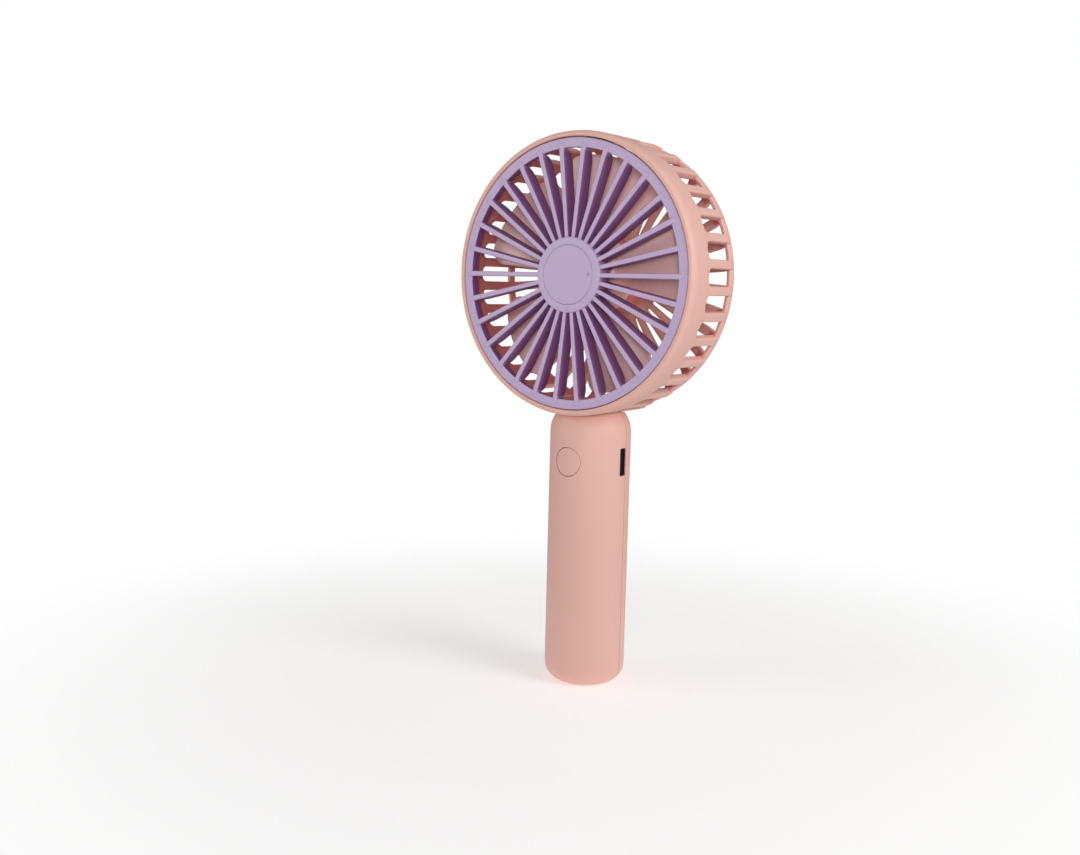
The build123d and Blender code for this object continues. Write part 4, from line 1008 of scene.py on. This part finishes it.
    def build(self, shop: Workshop) -> list[bpy.types.Object]:
        """Makes the cage and its rear cap and hands them to the housing.

        Args:
            shop: The finishes.

        Returns:
            The two objects.
        """
        pitch = 360.0 / self.rib_count
        turns = pitch * (np.arange(self.rib_count) + 0.5)
        lug = ring_loop(self.lug_inner, self.lug_outer, self.lug_front, self.lug_back, [0.2] * 4)
        lugs = [lathe(lug, 8, turn - self.lug_span / 2, self.lug_span) for turn in LUG_TURNS]
        shells = [self.band(), turned_copies(self.post(), turns), turned_copies(self.rib(), turns)]
        shells += [self.rear_ring(), self.seat(), self.mount(), self.bar(), self.plug(), *lugs]
        # Painted shade: the surfaces inside the drum, from the grille's recess to short of the back, take the
        # shaded tone.
        for shell in shells:
            reach = np.hypot(*shell.points[:, :2].T)
            depth = shell.points[:, 2]
            inside = (depth > self.recess - 0.1) & (depth < self.depth - self.shade_end)
            shell.painted_shade_and_mark = np.where(inside & (reach < self.drum_inner + self.shade_reach), 1.0, 0.0)
        cage = shop.hand_over(self.head.piece(joined(shells), "cage_moulding"), "housing", "rear_cage")
        cap = shop.hand_over(self.head.piece(self.cap(), "cage_cap"), "housing", "rear_hub_cap")
        return [cage, cap]


@dataclass
class Impeller:
    """Hub cup and swept blades."""

    head: HeadFrame
    tip_radius: float = 44.5
    hub_radius: float = 14.5
    hub_front: float = 8.5
    hub_back: float = 21.5
    hub_wall: float = 1.4
    hub_edge: float = 1.6
    boss_radius: float = 3.4
    boss_back: float = 17.0
    shaft_radius: float = 1.0
    blade_count: int = 5
    blade_middle: float = 15.0
    upper_angle: float = -28.5
    lower_root: float = 20.0
    lower_tip: float = 26.0
    sweep_start: float = 27.0
    sweep_length: float = 15.0
    slope_half: float = 25.0
    first_blade: float = -2.0
    rise: float = 10.0
    camber: float = 1.2
    thickness: float = 1.3
    tip_round: float = 7.0

    def hub(self) -> Shell:
        """Cup with a rounded front edge, and the boss that grips the shaft."""
        inner = self.hub_radius - self.hub_wall
        floor = self.hub_front + self.hub_wall
        edge = quarter(self.hub_radius - self.hub_edge, self.hub_front + self.hub_edge, self.hub_edge, -90, 0)
        profile = np.concatenate(
            [
                [(2.0, self.hub_front)],
                edge,
                [(self.hub_radius, self.hub_back), (inner, self.hub_back), (inner, floor)],
                [(self.boss_radius, floor), (self.boss_radius, self.boss_back)],
                [(self.shaft_radius, self.boss_back), (self.shaft_radius, floor), (0.5, floor)],
            ]
        )
        return disc(profile, 128)

    def blade(self) -> Shell:
        """One blade along +X as a closed loop of points at each radius.

        The angle runs from the upper edge to the lower one, which sweeps on towards the tip along a
        smooth step. Both edges turn in by R - sqrt(R^2 - (R - e)^2) at the distance e from the tip.
        The depth is the middle, plus half the rise times the angle as a share of the slope's own
        half-angle, less the camber times one minus that share squared. The two faces lie half the
        thickness either side. At the share v of the way from the middle to an edge they close as
        sqrt(1 - v^40), and the points crowd towards the edges as v = 1 - (1 - |cos a|)^1.6.
        """
        tip = self.tip_radius - self.tip_round * (1 - np.sin(np.linspace(0, math.pi / 2, 18)))
        straight = np.linspace(self.hub_radius - 0.7, self.tip_radius - self.tip_round, 26)[:-1]
        r = np.concatenate([straight, tip])
        away = np.clip((self.tip_round - (self.tip_radius - r)) / self.tip_round, 0, 1)
        turn_in = np.degrees(self.tip_round * (1 - np.sqrt(1 - away**2)) / r)
        t = np.clip((r - self.sweep_start) / self.sweep_length, 0, 1)
        sweep = t**2 * (3 - 2 * t)
        upper = self.upper_angle + turn_in
        lower = self.lower_root + (self.lower_tip - self.lower_root) * sweep - turn_in
        close = np.sqrt(np.clip(1 - (1 - np.clip((self.tip_radius - r) / 0.6, 0, 1)) ** 2, 0.02, 1))
        turn = np.linspace(0, 2 * math.pi, 72, endpoint=False)
        v = np.sign(np.cos(turn)) * (1 - (1 - np.abs(np.cos(turn))) ** 1.6)
        face = np.sign(np.sin(turn)) * (1 - np.abs(v) ** 40) ** 0.5
        angle = np.radians((upper + lower)[:, None] / 2 + (lower - upper)[:, None] / 2 * v)
        share = angle / np.radians(self.slope_half)
        depth = self.blade_middle + self.rise / 2 * share - self.camber * (1 - share**2)
        half = self.thickness / 2 * close[:, None]
        grid = np.stack([r[:, None] * np.cos(angle), r[:, None] * np.sin(angle), depth + half * face], -1)
        return grid_shell(grid)

    def build(self, shop: Workshop) -> list[bpy.types.Object]:
        """Makes the impeller and hands it to its body.

        Args:
            shop: The finishes.

        Returns:
            The object, in a list.
        """
        turns = 360.0 / self.blade_count * np.arange(self.blade_count) + self.first_blade
        body = joined([self.hub(), turned_copies(self.blade(), turns)])
        return [shop.hand_over(self.head.piece(body, "impeller_moulding", 50), "impeller", "impeller")]


@dataclass
class PowerButton:
    """Round button that follows the handle's curve."""

    height: float
    handle_radius: float = 15.5
    radius: float = 5.4
    edge: float = 0.3
    flange_radius: float = 6.6
    flange_front: float = 11.8
    flange_thickness: float = 1.0
    stem_radius: float = 1.6
    stem_back: float = 7.36
    steps: int = 96

    def build(self, shop: Workshop) -> list[bpy.types.Object]:
        """Makes the button.

        The face at the distance s from the button's middle lies on the handle's cylinder, and its rim
        turns back by e - sqrt(e^2 - (s - (radius - e))^2).

        Args:
            shop: The finishes.

        Returns:
            The object, in a list.
        """
        flat = np.linspace(0.6, self.radius - self.edge, 9)
        bend = np.cos(np.linspace(0, math.pi / 2, 7))[1:]
        face = np.concatenate([flat, self.radius - self.edge * bend])
        past = np.clip(face - self.radius + self.edge, 0, None)
        turned = self.edge - np.sqrt(np.clip(self.edge**2 - past**2, 0, None))
        turn = np.linspace(0, 2 * math.pi, self.steps, endpoint=False)
        x, z = face[:, None] * np.cos(turn), face[:, None] * np.sin(turn)
        y = -np.sqrt(self.handle_radius**2 - x**2) + turned[:, None] + 0.02
        front = np.stack([x, y, z], -1)
        low, high = self.flange_front, self.flange_front - self.flange_thickness
        rings = [(self.radius, low), (self.flange_radius, low), (self.flange_radius, high)]
        rings += [(self.stem_radius, high), (self.stem_radius, self.stem_back), (0.3, self.stem_back)]
        back = np.array([[(r * math.cos(a), -d, r * math.sin(a)) for a in turn] for r, d in rings])
        made = grid_shell(np.concatenate([front, back]))
        made.points = made.points * MM + np.array([0, 0, self.height])
        return [shop.hand_over(to_object(made, "button_moulding"), "button", "button_cap")]


@dataclass
class ChargingSocket:
    """Near-black shell of the charging socket and mouth lining the port: painted shade that darkens the port.
    """

    height: float
    middle_y: float = -0.65
    half_width: float = 1.78
    half_height: float = 5.22
    corner: float = 0.55
    lining: float = 0.34
    lip: float = 15.12
    port_back: float = 13.1
    shell_half_width: float = 1.63
    shell_half_height: float = 4.47
    shell_corner: float = 1.28
    shell_wall: float = 0.3
    shell_back: float = 6.05

    def build(self, shop: Workshop) -> list[bpy.types.Object]:
        """Makes the socket.

        Nested rounded rectangles run along X: in along the lining's outside, back along the shell to
        its closed end, and out again along the inside, where the surface closes on itself.

        Args:
            shop: The finishes.

        Returns:
            The object, in a list.
        """
        wall, inset = self.shell_wall, self.lining
        hole = (0.6, 2.0, 0.3)
        inside = (self.shell_half_width - wall, self.shell_half_height - wall, self.shell_corner - wall)
        mouth = (self.half_width - inset, self.half_height - inset, 0.35)
        stations = [
            (self.lip, self.half_width, self.half_height, self.corner),
            (self.port_back, self.half_width, self.half_height, self.corner),
            (self.port_back - 0.05, self.shell_half_width, self.shell_half_height, self.shell_corner),
            (self.shell_back, self.shell_half_width, self.shell_half_height, self.shell_corner),
            (self.shell_back, *hole),
            (self.shell_back + wall, *hole),
            (self.shell_back + wall, *inside),
            (self.port_back + 0.2, *inside),
            (self.port_back + 0.35, *mouth),
            (self.lip - 0.1, *mouth),
            (self.lip, self.half_width - inset + 0.1, self.half_height - inset + 0.1, 0.4),
        ]
        x, wide, high, corner = np.array(stations).T
        section = rounded_section(wide, high, corner)
        y = section[..., 0] + self.middle_y
        grid = np.stack([x[:, None] + 0 * y, y, section[..., 1]], -1)
        made = grid_shell(grid, wrap=True)
        made.points = made.points * MM + np.array([0, 0, self.height])
        return [shop.hand_over(to_object(made, "socket_shell"), "housing", "usb_socket")]


# ---------------------------------------------------------------- stage


@dataclass(frozen=True)
class PaperFinish:
    """Pale paper that fades out with the distance from the object's foot."""

    name: str = "floor_paper"
    base: tuple[float, float, float] = (0.88, 0.875, 0.87)
    glow: float = 0.36
    solid_to: float = 0.05
    gone_at: float = 0.3

    def material(self, workshop: Workshop) -> bpy.types.Material:
        """Builds the node material.

        Args:
            workshop: The shared shader groups.

        Returns:
            The finished material.
        """
        made, tree, shader = empty_material(self.name)
        fade = workshop.place(tree, GroupName.FADE, {"From": self.solid_to, "To": self.gone_at})
        tree.links.new(fade.outputs["Alpha"], shader.inputs["Alpha"])
        shader.inputs["Base Color"].default_value = (*self.base, 1)
        shader.inputs["Roughness"].default_value = 0.9
        shader.inputs["Specular IOR Level"].default_value = 0.1
        shader.inputs["Emission Color"].default_value = (1.0, 0.985, 0.975, 1)
        shader.inputs["Emission Strength"].default_value = self.glow
        return made


@dataclass(frozen=True)
class SoftBox:
    """Square soft light that looks from a place towards an aim, spread over an angle in degrees."""

    name: str
    place: tuple[float, float, float]
    aim: tuple[float, float, float]
    size: float
    power: float
    spread: float

    def build(self) -> bpy.types.Object:
        """Makes the light.

        Returns:
            The light object.
        """
        data = bpy.data.lights.new(self.name, "AREA")
        data.size = self.size
        data.energy = self.power
        data.spread = math.radians(self.spread)
        made = bpy.data.objects.new(self.name, data)
        made.location = self.place
        line = Vector(self.aim) - Vector(self.place)
        made.rotation_euler = line.to_track_quat("-Z", "Y").to_euler()
        bpy.context.scene.collection.objects.link(made)
        return made


SOFT_BOXES = (
    SoftBox("left_light", (-0.30, -0.36, 0.24), (0, 0, 0.17), 0.25, 0.13, 100.0),
    SoftBox("right_light", (0.55, -0.02, 0.36), (0, 0, 0.17), 0.35, 0.55, 100.0),
    SoftBox("head_light", (0.32, -0.50, 0.22), (0, 0, 0.165), 0.12, 0.045, 36.0),
)


@dataclass
class Studio:
    """Pale floor, even white surroundings, soft light and the camera."""

    floor_radius: float = 1.2
    fill: float = 0.38
    azimuth: float = 34.91
    elevation: float = -0.64
    distance: float = 0.4492
    pan: float = 1.171
    tilt: float = -7.212
    roll: float = -1.38
    lens: float = 40.43
    sensor: float = 36.0

    def floor(self, workshop: Workshop) -> bpy.types.Object:
        """Round sheet of paper: rings of points that grow as the square of their number."""
        radius = self.floor_radius * np.linspace(0.08, 1, 24)[:, None] ** 2
        turn = np.linspace(0, 2 * math.pi, 96, endpoint=False)[None, :]
        rings = np.stack([radius * np.cos(turn), radius * np.sin(turn), 0 * radius * turn], -1)
        index = np.arange(rings[..., 0].size).reshape(rings.shape[:2])
        ahead = np.roll(index, -1, 1)
        quads = np.stack([index[:-1], index[1:], ahead[1:], ahead[:-1]], -1).reshape(-1, 4)
        middle = np.full(index.shape[1], rings[..., 0].size)
        fan = np.stack([index[0], ahead[0], middle], 1)
        points = np.concatenate([rings.reshape(-1, 3), np.zeros((1, 3))])
        sheet = to_object(Shell(points, quads, fan), "studio_floor")
        sheet.data.materials.append(PaperFinish().material(workshop))
        return sheet

    def surroundings(self) -> None:
        """White air: even fill for every surface, and plain white behind the object."""
        world = bpy.data.worlds.new("studio_air")
        world.use_nodes = True
        tree = world.node_tree
        background = tree.nodes["Background"]
        background.inputs["Color"].default_value = (1.0, 1.0, 1.0, 1)
        ray = tree.nodes.new("ShaderNodeLightPath")
        share = math_node(tree, "MULTIPLY", ray.outputs["Is Camera Ray"], 1 - self.fill)
        tree.links.new(math_node(tree, "ADD", share, self.fill), background.inputs["Strength"])
        bpy.context.scene.world = world

    def camera(self, centre: Vector) -> bpy.types.Object:
        """Camera round the middle of the grille's front plane.

        The view starts from azimuth and elevation at a distance, looking at the centre. It is then
        panned about its own up axis, tilted about its right axis and rolled about its line of sight.

        Args:
            centre: Middle of the grille's front plane.

        Returns:
            The camera object.
        """
        az, el = math.radians(self.azimuth), math.radians(self.elevation)
        back = Vector((math.sin(az) * math.cos(el), -math.cos(az) * math.cos(el), math.sin(el)))
        right = Vector((math.cos(az), math.sin(az), 0.0))
        up = back.cross(right)
        turn = Matrix.Rotation(math.radians(self.pan), 3, up)
        right, ahead = turn @ right, turn @ -back
        ahead = Matrix.Rotation(math.radians(self.tilt), 3, right) @ ahead
        lean = Matrix.Rotation(math.radians(self.roll), 3, ahead)
        right, up = lean @ right, lean @ right.cross(ahead)
        data = bpy.data.cameras.new("camera")
        data.lens, data.sensor_width = self.lens, self.sensor
        data.clip_start, data.clip_end = 0.01, 20.0
        made = bpy.data.objects.new("camera", data)
        pose = Matrix((right, up, -ahead)).transposed().to_4x4()
        made.matrix_world = Matrix.Translation(centre + back * self.distance) @ pose
        bpy.context.scene.collection.objects.link(made)
        bpy.context.scene.camera = made
        return made

    def build(self, centre: Vector, workshop: Workshop) -> None:
        """Places everything that isn't part of the object."""
        self.floor(workshop)
        self.surroundings()
        for box in SOFT_BOXES:
            box.build()
        self.camera(centre)
        bpy.context.scene.view_settings.view_transform = "Standard"


def main() -> None:
    """Builds the stage and every sub-assembly in order."""
    logging.basicConfig(level=logging.INFO, format="%(name)s: %(message)s")
    grille_low, grille_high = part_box("front_grille")
    cage_low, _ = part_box("rear_cage")
    centre = Vector((0, cage_low.y, (grille_low.z + grille_high.z) / 2))
    button_low, button_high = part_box("button_cap")
    shop = Workshop()
    Studio().build(centre, shop)
    shop.dress()
    head = HeadFrame(front=centre.y, height=centre.z)
    FrontGrille(head).build(shop)
    RearCage(head).build(shop)
    Impeller(head).build(shop)
    PowerButton((button_low.z + button_high.z) / 2).build(shop)
    ChargingSocket((button_low.z + button_high.z) / 2).build(shop)


if __name__ == "__main__":
    main()
